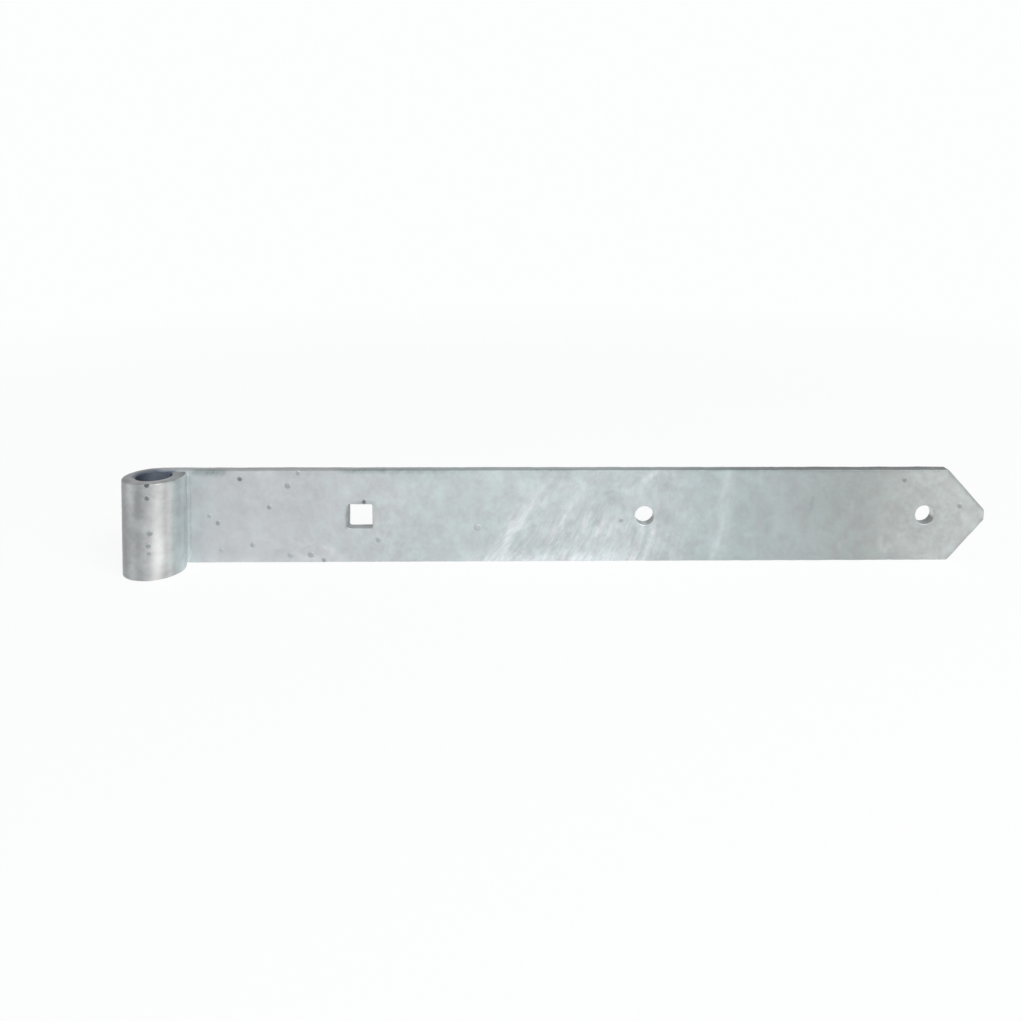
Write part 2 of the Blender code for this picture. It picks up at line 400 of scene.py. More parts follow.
# Each stroke's half width and the places (along, up, how much paler) that it runs through
STRAP_RUNS_AND_SHADE = (
    # the broad pale drag mark between the square hole and the middle hole, and its strands
    (5.5, (158, -1, 0.10), (165, 9, 0.10), (172, 20, 0.08), (179, 31, 0.03), (186, 42, 0.0)),
    (1.3, (164, 5, 0.03), (166.3, 13, 0.10), (167.2, 19, 0.12), (168.4, 25, 0.02)),
    (2.3, (165.5, 7, 0.04), (169.5, 16, 0.11), (173, 21.5, 0.13), (176, 26, 0.14), (180, 31.5, 0.08)),
    (2.0, (180, 31.5, 0.08), (184, 37, 0.04), (190, 46, 0.0)),
    # the strands after it, one beside the other towards the middle hole
    (2.2, (184, 4, 0.02), (189, 15, 0.14), (192.5, 19.5, 0.17), (196.5, 22.5, 0.17), (198.5, 25, 0.05)),
    (1.9, (193, 23.5, 0.04), (196, 27, 0.10), (199.5, 31, 0.11), (202.5, 35, 0.06), (206, 41, 0.0)),
    (2.0, (197.5, 1, 0.06), (199.5, 7.5, 0.08), (202, 14, 0.10), (204, 19.5, 0.18), (206, 24, 0.10)),
    (1.6, (205.5, 6, 0.05), (209, 13.5, 0.13), (212, 18.5, 0.12), (214.3, 24, 0.03)),
    (1.3, (213, 8, 0.03), (216, 16, 0.14), (219, 21, 0.03)),
    (1.0, (217, 9, 0.02), (220.3, 17.5, 0.10), (221.5, 22, 0.0)),
    (1.0, (222, 8, 0.02), (223.7, 16, 0.13), (224.2, 20, 0.02)),
    (1.5, (227.5, 2, 0.05), (229.5, 9, 0.13), (231.5, 15, 0.16), (232.2, 18, 0.06)),
    (1.5, (234, 4, 0.05), (235.6, 10.5, 0.16), (237, 16, 0.18), (238, 20, 0.04)),
    (1.6, (230.5, 36.5, 0.04), (233.5, 40.5, 0.14), (237.5, 43.5, 0.12)),
    (1.6, (236, 41.5, 0.09), (240, 45.5, 0.13), (246, 45.5, 0.12)),
    (5.5, (150, -1, 0.14), (175, -1, 0.22), (205, -1, 0.24), (232, -1, 0.20)),
    (4.5, (10, -1, 0.16), (13, -1, 0.04), (16.5, -1, -0.06), (22, -1, 0.03), (40, -1, 0.06)),
    (2.2, (16.5, 34, -0.05), (16.5, 46, -0.07)),
    # the upright pale run, its brighter edge and its foot
    (4.6, (269, 4, 0.05), (272, 14, 0.09), (272.5, 28, 0.08), (273.5, 46, 0.09)),
    (1.7, (264.5, -1, 0.10), (268, 8, 0.12), (270.5, 16, 0.08), (270.7, 30, 0.06), (274, 46, 0.07)),
    (1.8, (246, -1, 0.11), (247.5, 11, 0.03)),
    (1.6, (247, 36, 0.02), (247.5, 46, 0.07)),
    (1.2, (289, 34, 0.01), (289, 45, 0.06)),
    # duller patches and lines among them
    (4.6, (172, 10, -0.04), (180, 9, -0.03)),
    (3.5, (172, 41, -0.05), (186, 43, -0.05), (200, 42, -0.06)),
    (3.5, (112, 42, -0.03), (128, 41, -0.07), (146, 42, -0.03)),
    (3.0, (216, 42, -0.07), (229, 43, -0.04)),
    (2.2, (176.5, 22, -0.06), (179.5, 24.5, -0.09)),
    (6.5, (208, 38, -0.05), (215, 33, -0.07), (221, 29, -0.05)),
    (4.0, (154, 20, -0.03), (162, 18, -0.04)),
    (1.0, (167.5, 6.5, -0.16), (170.5, 11.5, -0.14), (172.8, 15, -0.02)),
    (1.0, (180, 28, -0.04), (182.5, 25.5, -0.10), (184.5, 23, -0.02)),
    (1.0, (194.5, 7, -0.03), (196.5, 14, -0.08)),
    (0.9, (205.5, 16.5, -0.03), (209.5, 19.5, -0.10)),
    (1.2, (227, 37.5, -0.05), (229, 40.5, -0.09)),
    (2.4, (234.5, 31, -0.09), (235.7, 36, -0.06)),
    (1.5, (227.5, 9.5, -0.08), (228.2, 15.5, -0.08)),
    (1.0, (232.4, 7, -0.08), (234, 17, -0.09)),
    (1.0, (154, 1, -0.12), (155, 5, -0.06)),
    (1.0, (194.7, 1, -0.16), (196.5, 4.5, -0.05)),
    (1.0, (229.5, 1, -0.16), (230.6, 4.5, -0.04)),
    (1.0, (234.7, 1, -0.14), (235.5, 4.5, -0.04)),
    (2.6, (243, 5, -0.05), (243, 25, -0.04)),
    (2.0, (293, 15, -0.06), (293.6, 18, -0.05)),
    (1.0, (314, 24, -0.05), (315, 31, -0.08)),
    (1.4, (305.8, 8, -0.06), (306.4, 10.5, -0.05)),
    # pale marks on the dull zinc and by the point
    (1.0, (280.5, 13.5, 0.05), (284, 12.5, 0.07), (288, 12.5, 0.03)),
    (3.0, (297, 14, 0.04), (300, 20, 0.03)),
    (1.1, (328.4, 6, 0.08), (328.7, 8.5, 0.08)),
    (1.1, (334.2, 19, 0.03), (334.6, 29, 0.06)),
    (1.6, (348.4, 11, 0.09), (348.6, 7, 0.12), (350.5, 4.8, 0.12), (353, 7.5, 0.09)),
    (1.8, (348.8, 11, 0.06), (349.5, 21, 0.05), (352, 23, 0.07)),
    (5.5, (357, 10, 0.10), (372, 5, 0.09)),
    (5.0, (26, -1, 0.07), (60, -1, 0.08), (84, -1, 0.12)),
    # stains and splashes below the upper edge, and marks by the square hole
    (2.2, (16, 45, -0.30), (22, 44.4, -0.42), (28, 44.2, -0.42), (32, 44.6, -0.10)),
    (0.9, (62, 11, 0.05), (67, 8.5, 0.08), (73, 9.5, 0.05)),
    (1.4, (63, 5, 0.04), (68, 2.5, 0.10), (74, 2.2, 0.08)),
    (1.2, (88, 36, 0.05), (89.5, 33, 0.10), (89, 30, 0.04)),
    (0.9, (104.5, 7, 0.05), (106, 12, 0.08), (108.5, 16, 0.03)),
    (1.2, (107.5, 28, 0.04), (108.5, 33, 0.07)),
    # painted shade along the upper front edge, over the highlight of its rounding
    (1.7, (84, 45.2, -0.14), (90, 45.2, -0.42), (98, 45.2, -0.42), (106, 45.2, -0.30)),
    (1.9, (106, 45.2, -0.30), (132, 45.2, -0.28), (150, 45.2, -0.12)),
    (1.6, (180, 45.5, -0.16), (196, 45.5, -0.12)),
    (1.3, (268, 45.5, -0.08), (300, 45.6, -0.10), (345, 45.6, -0.10)),
    (0.9, (150, 45, -0.12), (205, 45, -0.18), (262, 45, -0.28), (345, 45, -0.24), (381, 45, -0.30)),
    # dull zinc along the sheared corners
    (1.3, (382, 44.0, -0.18), (391, 34.5, -0.26), (399.5, 25.5, -0.30)),
    (1.2, (382, 1.0, -0.10), (391, 10.0, -0.14), (399.5, 19.5, -0.20)),
    (2.2, (47, 43, 0.07), (52, 43.6, 0.10)),
    (2.2, (77.5, 7.5, 0.10), (81, 5.5, 0.17)),
    (0.9, (88.7, 17.5, -0.45), (88.8, 25.5, -0.40), (89, 28, -0.05)),
    (0.8, (91, 29.3, -0.08), (96, 29.3, -0.22), (102, 29.2, -0.14), (102.2, 26, -0.08)),
    (1.0, (103, 10, 0.06), (103.3, 22, 0.09)),
)

EYE_BANDS_LIGHT_AND_SHADE = (
    # upright bands round the eye, from its left side to the seam: the zinc's own bands, painted shade
    # on the eye's left side and a painted highlight in front
    (3.6, (-26.5, -2, -0.32), (-25.5, 20, -0.28), (-24.5, 47, -0.26)),
    (2.0, (-29.8, -2, 0.03), (-29.8, 15, 0.03), (-29.8, 21, -0.14), (-29.8, 32, 0.0)),
    (3.0, (-32, 27, 0.05), (-37, 27, 0.06)),
    (2.4, (-32, 20.5, -0.06), (-37.5, 20.5, -0.06)),
    (1.6, (-29.6, 32, 0.0), (-29.0, 47, 0.16)),
    (1.9, (-33.2, -2, -0.12), (-33.2, 26, -0.13), (-33.4, 36, -0.26), (-33.4, 47, -0.22)),
    (1.5, (-36.0, 30, -0.04), (-36.4, 47, -0.14)),
    # the painted highlight
    (1.9, (-39.2, -2, 0.38), (-39.2, 20, 0.40), (-39.7, 28, 0.19), (-40.2, 47, 0.18)),
    (1.5, (-41.0, 4, 0.10), (-41.0, 14, 0.32), (-41.0, 22, 0.08)),
    (1.0, (-38.6, 32, -0.05), (-38.6, 40, -0.05), (-38.4, 47, -0.06)),
    (0.8, (-42.8, -2, -0.06), (-42.6, 47, -0.06)),
    (1.3, (-44.0, -2, 0.06), (-43.8, 18, 0.06), (-43.8, 28, 0.14), (-44.4, 47, 0.13)),
    (1.4, (-45.6, -2, -0.04), (-45.6, 18, -0.06), (-45.6, 24, 0.0)),
    (2.2, (-47.6, 0, -0.05), (-47.6, 8, -0.10), (-47.8, 47, -0.12)),
    (2.4, (-51.0, 0, 0.08), (-50.5, 20, 0.06), (-51.0, 34, 0.08), (-51.5, 47, 0.12)),
    (1.0, (-52.2, 8, -0.06), (-52.2, 14, -0.16), (-52.2, 30, -0.16), (-52.2, 35, 0.0)),
    (1.3, (-42.6, -2, -0.12), (-42.6, 6, -0.04)),
    (1.2, (-45.4, -2, -0.06), (-45.4, 26, -0.05)),
    (1.2, (-44.1, 21, 0.02), (-44.1, 26, 0.07), (-44.1, 31, 0.0)),
    (1.3, (-47.5, 29, 0.0), (-47.5, 33, 0.06), (-47.5, 38, 0.0)),
    # painted shade along the ring's front edge, so that it doesn't gleam
    (
        1.1,
        (-37.5, 45.2, -0.05),
        (-39, 45.3, -0.50),
        (-43.5, 45.3, -0.52),
        (-45.8, 45.2, -0.40),
        (-47, 45, -0.05),
    ),
)

# (millimetres from the eye's axis along the bar, tone from dull to pale); below 0 is round the eye,
# where the low tones are painted shade on its left side, and the high tones at 11 to 15 are painted
# light against the roll's shade
TONE_ALONG = (
    (-56, 0.58), (-50, 0.52), (-46, 0.425), (-40, 0.40), (-33, 0.26), (-29, 0.33),
    (-8, 0.40), (0, 0.50), (11, 0.68), (15, 0.68), (19, 0.54), (30, 0.49),
    (60, 0.46), (125, 0.505), (170, 0.59), (205, 0.585), (245, 0.445), (265, 0.39),
    (280, 0.30), (335, 0.15), (345, 0.18), (380, 0.40), (400, 0.42),
)

# The same for how green the grey is
CAST_ALONG = (
    (-56, 0.40), (-47, 0.50), (-43, 0.15), (-38, 0.0), (-20, 0.0), (10, 0.25),
    (30, 0.06), (60, 0.05), (90, 0.22), (110, 0.25), (125, 0.42), (155, 0.42),
    (200, 0.36), (245, 0.36), (260, 0.58), (280, 0.57), (310, 0.37), (360, 0.14),
    (400, 0.11),
)

# The same for how mottled it is
MOTTLE_ALONG = (
    (-56, 1.5), (0, 1.5), (20, 0.85), (85, 1.0), (110, 1.4), (150, 1.2),
    (180, 1.45), (225, 1.45), (255, 1.3), (278, 0.7), (345, 0.65), (375, 1.4),
)


def stroke(places, half_width, x, z):
    """How strongly each point of the blank takes a stroke through these places."""
    taken = np.zeros(x.shape)
    for (*start, first), (*end, last) in zip(places, places[1:]):
        a, b = np.array(start, float) * MM, np.array(end, float) * MM
        way = b - a
        t = np.clip(((x - a[0]) * way[0] + (z - a[1]) * way[1]) / (way @ way), 0, 1)
        away = np.hypot(x - a[0] - t * way[0], z - a[1] - t * way[1]) / half_width
        share = (first + (last - first) * t) * smooth(np.clip(1 - away / SOFT_EDGE, 0, 1))
        taken = np.where(abs(share) > abs(taken), share, taken)
    return taken


def zinc_tone(points, blank):
    """How pale the zinc is at each point, painted light and shade included, from 0, dull, to 1, pale,
    and what the strap's runs add.
    """
    x, depth, z = points.T
    tone = read_along(TONE_ALONG, points)
    on_front = (x > 0) & (depth < blank.mid)
    on_eye = (x <= 0) & (depth > blank.mid)
    for half_width, *places in EYE_BANDS_LIGHT_AND_SHADE:
        tone += np.where(on_eye, stroke(places, half_width * MM, x, z), 0.0)
    drawn = np.zeros(x.shape)
    for half_width, *places in STRAP_RUNS_AND_SHADE:
        drawn += np.where(on_front, stroke(places, half_width * MM, x, z), 0.0)
    return tone, drawn


def read_along(table, points):
    """A table's value at each point's place along the blank."""
    along, values = zip(*table)
    return np.interp(points[:, 0] / MM, along, values)


# Short ways to add and join nodes


class Wiring:
    """Adds nodes to a tree and joins their sockets."""

    def __init__(self, tree):
        self.tree = tree

    def add(self, kind, inputs=None, **settings):
        node = self.tree.nodes.new(kind)
        for name, value in settings.items():
            setattr(node, name, value)
        for name, value in (inputs or {}).items():
            self.feed(node.inputs[name], value)
        return node

    def feed(self, socket, value):
        if isinstance(value, bpy.types.NodeSocket):
            self.tree.links.new(value, socket)
        else:
            socket.default_value = value

    def math(self, operation, *values, clamp=False):
        node = self.add("ShaderNodeMath", operation=operation, use_clamp=clamp)
        for socket, value in zip(node.inputs, values):
            self.feed(socket, value)
        return node.outputs[0]

    def product(self, first, *others):
        """The values multiplied together, first to last."""
        for value in others:
            first = self.math("MULTIPLY", first, value)
        return first

    def total(self, first, *others, clamp=False):
        """The values added up, first to last, and the whole kept between 0 and 1 if it is clamped."""
        for value in others[:-1]:
            first = self.math("ADD", first, value)
        return self.math("ADD", first, others[-1], clamp=clamp)

    def vector(self, operation, *values):
        node = self.add("ShaderNodeVectorMath", operation=operation)
        for socket, value in zip([s for s in node.inputs if s.enabled], values):
            self.feed(socket, value)
        return next(s for s in node.outputs if s.enabled)

    def combine(self, x=0.0, y=0.0, z=0.0):
        return self.add("ShaderNodeCombineXYZ", {"X": x, "Y": y, "Z": z}).outputs[0]

    def separate(self, vector):
        return self.add("ShaderNodeSeparateXYZ", {"Vector": vector}).outputs

    def between(self, value, low, high, to_low=0.0, to_high=1.0):
        """Eases from to_low to to_high as the value goes from low to high."""
        node = self.add("ShaderNodeMapRange", interpolation_type="SMOOTHSTEP")
        for name, number in (
            ("Value", value),
            ("From Min", low),
            ("From Max", high),
            ("To Min", to_low),
            ("To Max", to_high),
        ):
            self.feed(node.inputs[name], number)
        return node.outputs["Result"]

    def stretch(self, value, start, end):
        """1 from where a look has set in to where it begins to die away, and 0 beyond both."""
        return self.product(self.between(value, *start), self.between(value, *end))

    def attribute(self, name, output="Fac"):
        return self.add("ShaderNodeAttribute", attribute_name=name).outputs[output]

    def named(self, name, kind):
        return self.add("GeometryNodeInputNamedAttribute", {"Name": name}, data_type=kind).outputs[0]

    def blend(self, share, first, second, kind="MIX"):
        node = self.add("ShaderNodeMix", data_type="RGBA", blend_type=kind, clamp_factor=True)
        colours = [s for s in node.inputs if s.type == "RGBA"]
        self.feed(node.inputs["Factor"], share)
        self.feed(colours[0], first)
        self.feed(colours[1], second)
        return next(s for s in node.outputs if s.type == "RGBA")

    def tint(self, share, colour, by):
        """Multiplies a colour by another, as far as the share says."""
        return self.blend(share, colour, self.blend(1.0, colour, by, "MULTIPLY"))

    def noise(self, place, scale=1.0, detail=2.0, roughness=0.5, distortion=0.0):
        inputs = {"Vector": place, "Scale": scale, "Detail": detail, "Roughness": roughness}
        inputs["Distortion"] = distortion
        return self.add("ShaderNodeTexNoise", inputs, noise_dimensions="3D").outputs[0]


def new_group(name, kind, inputs, outputs):
    """A node tree with named sockets: (name, type, default) going in and (name, type) coming out."""
    tree = bpy.data.node_groups.new(name, kind)
    for label, socket_type, default in inputs:
        socket = tree.interface.new_socket(label, in_out="INPUT", socket_type=socket_type)
        if default is not None:
            socket.default_value = default
    for label, socket_type in outputs:
        tree.interface.new_socket(label, in_out="OUTPUT", socket_type=socket_type)
    wiring = Wiring(tree)
    taken = wiring.add("NodeGroupInput").outputs
    given = wiring.add("NodeGroupOutput").inputs
    return wiring, taken, given


def set_input(modifier, label, value):
    """Sets a Geometry Nodes modifier's input by the identifier of the socket with this name."""
    for item in modifier.node_group.interface.items_tree:
        if item.item_type == "SOCKET" and item.in_out == "INPUT" and item.name == label:
            modifier[item.identifier] = value
            return
    raise RuntimeError(f"{modifier.node_group.name} has no input named {label}")


def with_nodes(obj, tree, **inputs):
    """Runs a Geometry Nodes tree on an object and gives back the plain mesh object that it makes."""
    modifier = obj.modifiers.new(tree.name, "NODES")
    modifier.node_group = tree
    for label, value in inputs.items():
        set_input(modifier, label.replace("_", " ").capitalize(), value)
    depsgraph = bpy.context.evaluated_depsgraph_get()
    name = obj.name
    mesh = bpy.data.meshes.new_from_object(
        obj.evaluated_get(depsgraph), preserve_all_data_layers=True, depsgraph=depsgraph
    )
    obj.modifiers.remove(modifier)
    bpy.data.objects.remove(obj, do_unlink=True)
    mesh.name = name
    mesh.shade_smooth()
    return link_object(name, mesh)


def store(mesh, kind="FLOAT", **values):
    """Keeps values at the mesh's vertices, each under its own name, for trees and materials to read."""
    part = "vector" if kind == "FLOAT_VECTOR" else "value"
    for name, value in values.items():
        numbers = np.asarray(value, np.float32).ravel()
        mesh.attributes.new(name, kind, "POINT").data.foreach_set(part, numbers)


def link_object(name, data):
    obj = bpy.data.objects.new(name, data)
    obj.name = name
    bpy.context.scene.collection.objects.link(obj)
    return obj


def hand_over(obj, *nodes):
    """Hangs the finished piece on the frame's body, and hides the solids that it stands for."""
    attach(obj, BODY)
    if nodes:
        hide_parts(*nodes)


# Geometry Nodes


LUMP_RANGE = (0.7, 0.3)  # the noise between which the skin goes from full height to its lowest


def coated(w, realised, material, given):
    """The tree, ended by setting the material of its realised geometry."""
    inputs = {"Geometry": realised.outputs[0], "Material": material}
    w.feed(given, w.add("GeometryNodeSetMaterial", inputs).outputs[0])
    return w.tree


def rolling_tree():
    """Rolls the blank's end round the eye's axis and lays the zinc's uneven skin over it."""
    w, taken, given = new_group(
        "roll_and_dip",
        "GeometryNodeTree",
        [
            ("Blank", "NodeSocketGeometry", None),
            ("Rolled radius", "NodeSocketFloat", 0.011),
            ("Skin relief", "NodeSocketFloat", 0.0001),
            ("Lump size", "NodeSocketFloat", 0.008),
            ("Material", "NodeSocketMaterial", None),
        ],
        [("Strap", "NodeSocketGeometry")],
    )
    place = w.add("GeometryNodeInputPosition").outputs[0]
    kept = w.add(
        "GeometryNodeStoreNamedAttribute",
        {"Geometry": taken["Blank"], "Name": "blank", "Value": place},
        data_type="FLOAT_VECTOR",
        domain="POINT",
    )
    x, depth, z = w.separate(place)
    to_roll = w.math("MAXIMUM", w.product(x, -1.0), 0.0)
    turn = w.math("DIVIDE", to_roll, taken["Rolled radius"])
    flat = w.math("MAXIMUM", x, 0.0)
    rolled_x = w.math("SUBTRACT", flat, w.product(depth, w.math("SINE", turn)))
    rolled_y = w.product(depth, w.math("COSINE", turn))
    rolled = w.add(
        "GeometryNodeSetPosition",
        {"Geometry": kept.outputs[0], "Position": w.combine(rolled_x, rolled_y, z)},
    )
    blank = w.named("blank", "FLOAT_VECTOR")
    lumps = w.noise(blank, w.math("DIVIDE", 1.0, taken["Lump size"]), detail=3.0, roughness=0.6)
    dip = w.product(w.between(lumps, *LUMP_RANGE), taken["Skin relief"])
    normal = w.add("GeometryNodeInputNormal").outputs[0]
    inwards = w.vector("SCALE", normal, w.product(dip, -1.0))
    dipped = w.add("GeometryNodeSetPosition", {"Geometry": rolled.outputs[0], "Offset": inwards})
    realised = w.add("GeometryNodeRealizeInstances", {"Geometry": dipped.outputs[0]})
    return coated(w, realised, taken["Material"], given["Strap"])


BACK_DEPTH = 13.8 * MM  # the blank's points beyond this lie on its back
BACK_PAST_AXIS = 20 * MM  # how far round the eye the scatter goes on
SCATTER_RADII = (0.18 * MM, 0.45 * MM)
SCATTER_HEIGHT = 0.5  # next to the listed pimples


def pimple_tree():
    """Sits a small dome of dross on the strap at every seed, and at a few more places on its back."""
    w, taken, given = new_group(
        "zinc_pimples",
        "GeometryNodeTree",
        [
            ("Seeds", "NodeSocketGeometry", None),
            ("Strap", "NodeSocketObject", None),
            ("Scatter", "NodeSocketFloat", 1500.0),
            ("Scatter seed", "NodeSocketInt", 3),
            ("Height share", "NodeSocketFloat", 0.15),
            ("Lowest", "NodeSocketVector", None),
            ("Highest", "NodeSocketVector", None),
            ("Material", "NodeSocketMaterial", None),
        ],
        [("Pimples", "NodeSocketGeometry")],
    )
    strap = w.add("GeometryNodeObjectInfo", {"Object": taken["Strap"]}, transform_space="RELATIVE")
    surface = strap.outputs["Geometry"]
    place = w.add("GeometryNodeInputPosition").outputs[0]
    normal = w.add("GeometryNodeInputNormal").outputs[0]
    nearest = w.add(
        "GeometryNodeProximity", {"Geometry": surface, "Sample Position": place}, target_element="FACES"
    )
    facing = w.add(
        "GeometryNodeSampleNearestSurface",
        {"Mesh": surface, "Value": normal, "Sample Position": place},
        data_type="FLOAT_VECTOR",
    )
    seated = w.add(
        "GeometryNodeSetPosition",
        {"Geometry": taken["Seeds"], "Position": nearest.outputs["Position"]},
    )
    size = w.named("size", "FLOAT")
    blank = w.named("blank", "FLOAT_VECTOR")
    along, depth, _ = w.separate(blank)
    on_back = w.product(
        w.math("GREATER_THAN", depth, BACK_DEPTH), w.math("GREATER_THAN", along, -BACK_PAST_AXIS)
    )
    spread = w.add(
        "GeometryNodeDistributePointsOnFaces",
        {
            "Mesh": surface,
            "Selection": on_back,
            "Density": taken["Scatter"],
            "Seed": taken["Scatter seed"],
        },
    )
    ball = w.add("GeometryNodeMeshIcoSphere", {"Radius": 1.0, "Subdivisions": 2}).outputs["Mesh"]
    dome = w.add(
        "GeometryNodeStoreNamedAttribute",
        {"Geometry": ball, "Name": "rise", "Value": w.separate(place)["Z"]},
        data_type="FLOAT",
        domain="POINT",
    )
    flat_dome = w.add(
        "GeometryNodeTransform",
        {"Geometry": dome.outputs[0], "Scale": w.combine(1.0, 1.0, taken["Height share"])},
    )
    aim = w.add("FunctionNodeAlignRotationToVector", {"Vector": facing.outputs[0]}, axis="Z")
    listed = w.add(
        "GeometryNodeInstanceOnPoints",
        {
            "Points": seated.outputs[0],
            "Instance": flat_dome.outputs[0],
            "Rotation": aim.outputs[0],
            "Scale": w.combine(size, size, size),
        },
    )
    small = w.add("FunctionNodeRandomValue", {"Seed": taken["Scatter seed"]}, data_type="FLOAT")
    small.inputs[2].default_value, small.inputs[3].default_value = SCATTER_RADII
    radius = small.outputs[1]
    scattered = w.add(
        "GeometryNodeInstanceOnPoints",
        {
            "Points": spread.outputs["Points"],
            "Instance": flat_dome.outputs[0],
            "Rotation": spread.outputs["Rotation"],
            "Scale": w.combine(radius, radius, w.product(radius, SCATTER_HEIGHT)),
        },
    )
    joined = w.add("GeometryNodeJoinGeometry")
    for source in (listed, scattered):
        w.tree.links.new(source.outputs[0], joined.inputs[0])
    realised = w.add("GeometryNodeRealizeInstances", {"Geometry": joined.outputs[0]})
    # nothing may stand proud of the bar's own box
    inside = w.vector("MINIMUM", w.vector("MAXIMUM", place, taken["Lowest"]), taken["Highest"])
    wiped = w.add("GeometryNodeSetPosition", {"Geometry": realised.outputs[0], "Position": inside})
    return coated(w, wiped, taken["Material"], given["Pimples"])


# Shader node groups, which read places in millimetres


# The part of a noise's range that goes from none to all
CLOUD_RANGE = (0.3, 0.7)
LINE_RANGE = (0.36, 0.70)


def clouds_group():
    """Soft patches of paler and duller zinc, from 0 to 1."""
    w, taken, given = new_group(
        "zinc_clouds",
        "ShaderNodeTree",
        [("Place", "NodeSocketVector", None), ("Patch size", "NodeSocketFloat", 10.0)],
        [("Clouds", "NodeSocketFloat")],
    )
    scale = w.math("DIVIDE", 1.0, taken["Patch size"])
    broad = w.noise(taken["Place"], scale, detail=3.0, roughness=0.55, distortion=0.4)
    w.feed(given["Clouds"], w.between(broad, *CLOUD_RANGE))
    return w.tree


DRAG_BENDS, DRAG_BEND_WIDTH = 0.035, 8.0  # bends per millimetre, and how far they carry the lines


def drag_group():
    """Fine leaning lines, as where molten zinc was wiped off the bar, from 0 to 1."""
    w, taken, given = new_group(
        "zinc_drag_lines",
        "ShaderNodeTree",
        [
            ("Place", "NodeSocketVector", None),
            ("Lean", "NodeSocketFloat", 0.6),
            ("Spacing", "NodeSocketFloat", 2.0),
            ("Length", "NodeSocketFloat", 40.0),
        ],
        [("Lines", "NodeSocketFloat")],
    )
    x, y, z = w.separate(taken["Place"])
    drift = w.noise(taken["Place"], DRAG_BENDS, detail=2.0)
    bend = w.product(w.math("SUBTRACT", drift, 0.5), DRAG_BEND_WIDTH)
    across = w.total(w.math("SUBTRACT", x, w.product(z, taken["Lean"])), bend)
    across = w.math("DIVIDE", across, taken["Spacing"])
    stretched = w.combine(across, y, w.math("DIVIDE", z, taken["Length"]))
    lines = w.noise(stretched, 1.0, detail=3.0, roughness=0.6, distortion=0.9)
    w.feed(given["Lines"], w.between(lines, *LINE_RANGE))
    return w.tree


COARSE_SCALE, COARSE_SHARE = 0.22, 0.6  # of the grain: how large next to the fine, and how much of it


def grain_group():
    """The fine roughness of dull zinc, as a height from 0 to 1."""
    w, taken, given = new_group(
        "zinc_grain",
        "ShaderNodeTree",
        [("Place", "NodeSocketVector", None), ("Grain size", "NodeSocketFloat", 0.8)],
        [("Height", "NodeSocketFloat")],
    )
    scale = w.math("DIVIDE", 1.0, taken["Grain size"])
    fine = w.noise(taken["Place"], scale, detail=3.0, roughness=0.6)
    coarse = w.noise(taken["Place"], w.product(scale, COARSE_SCALE), detail=2.0)
    height = w.total(w.product(fine, 1 - COARSE_SHARE), w.product(coarse, COARSE_SHARE))
    w.feed(given["Height"], height)
    return w.tree


def colour_group():
    """The zinc's colour from its tone, its green cast, and how worn and rough it is; tone and wear
    carry painted light and shade in places.
    """
    w, taken, given = new_group(
        "zinc_colour",
        "ShaderNodeTree",
        [
            ("Tone", "NodeSocketFloat", 0.5),
            ("Cast", "NodeSocketFloat", 0.5),
            ("Worn", "NodeSocketFloat", 0.0),
            ("Dull", "NodeSocketColor", None),
            ("Pale", "NodeSocketColor", None),
            ("Green", "NodeSocketColor", None),
            ("Worn colour", "NodeSocketColor", None),
        ],
        [("Colour", "NodeSocketColor")],
    )
    grey = w.blend(taken["Tone"], taken["Dull"], taken["Pale"])
    tinted = w.tint(taken["Cast"], grey, taken["Green"])
    w.feed(given["Colour"], w.blend(taken["Worn"], tinted, taken["Worn colour"]))
    return w.tree


def group_node(w, name, **inputs):
    """Places a shader node group, built once, with its inputs, and gives back its output."""
    node = w.add("ShaderNodeGroup")
    node.node_tree = bpy.data.node_groups.get(name) or GROUPS[name]()
    for label, value in inputs.items():
        w.feed(node.inputs[label.replace("_", " ").capitalize()], value)
    return node.outputs[0]


GROUPS = {
    "zinc_clouds": clouds_group,
    "zinc_drag_lines": drag_group,
    "zinc_grain": grain_group,
    "zinc_colour": colour_group,
}


# Materials


def new_material(name):
    """A material with its Principled BSDF, and the wiring to feed it."""
    material = bpy.data.materials.new(name)
    material.use_nodes = True
    return material, Wiring(material.node_tree), material.node_tree.nodes["Principled BSDF"]


def opaque(colour):
    return (*colour, 1.0)


def zinc_colour(w, finish, tone, cast, worn, worn_colour):
    """The colour group with the finish's own colours."""
    return group_node(
        w,
        "zinc_colour",
        tone=tone,
        cast=cast,
        worn=worn,
        dull=opaque(finish.dull),
        pale=opaque(finish.pale),
        green=opaque(finish.green),
        worn_colour=opaque(worn_colour),
    )


# How the coat varies: the clouds' sizes and weights, and the drag lines' spacings and lengths
CLOUDS = ((26.0, 0.07), (7.0, 0.11), (2.2, 0.06))
DRAG_LINES = ((2.4, 11.0), (1.0, 5.0))
DRAG_MEAN, DRAG_STRENGTH, DRAG_RELIEF = 0.42, 0.25, 0.3
RUN_LEAST, RUN_BREAKS = 0.66, 0.8  # how much of a stroke the drag lines leave, and what they add to it
EDGE_PAINTED_LIGHT = 0.9
GREEN_PATCHES = 0.3
WORN_PATCHES = 0.1
PATCH_ROUGHNESS, WORN_ROUGHNESS = 0.12, 0.15
COAT_GRAIN, COAT_BUMP, COAT_BUMP_HEIGHT = 1.1, 0.25, 0.25 * MM

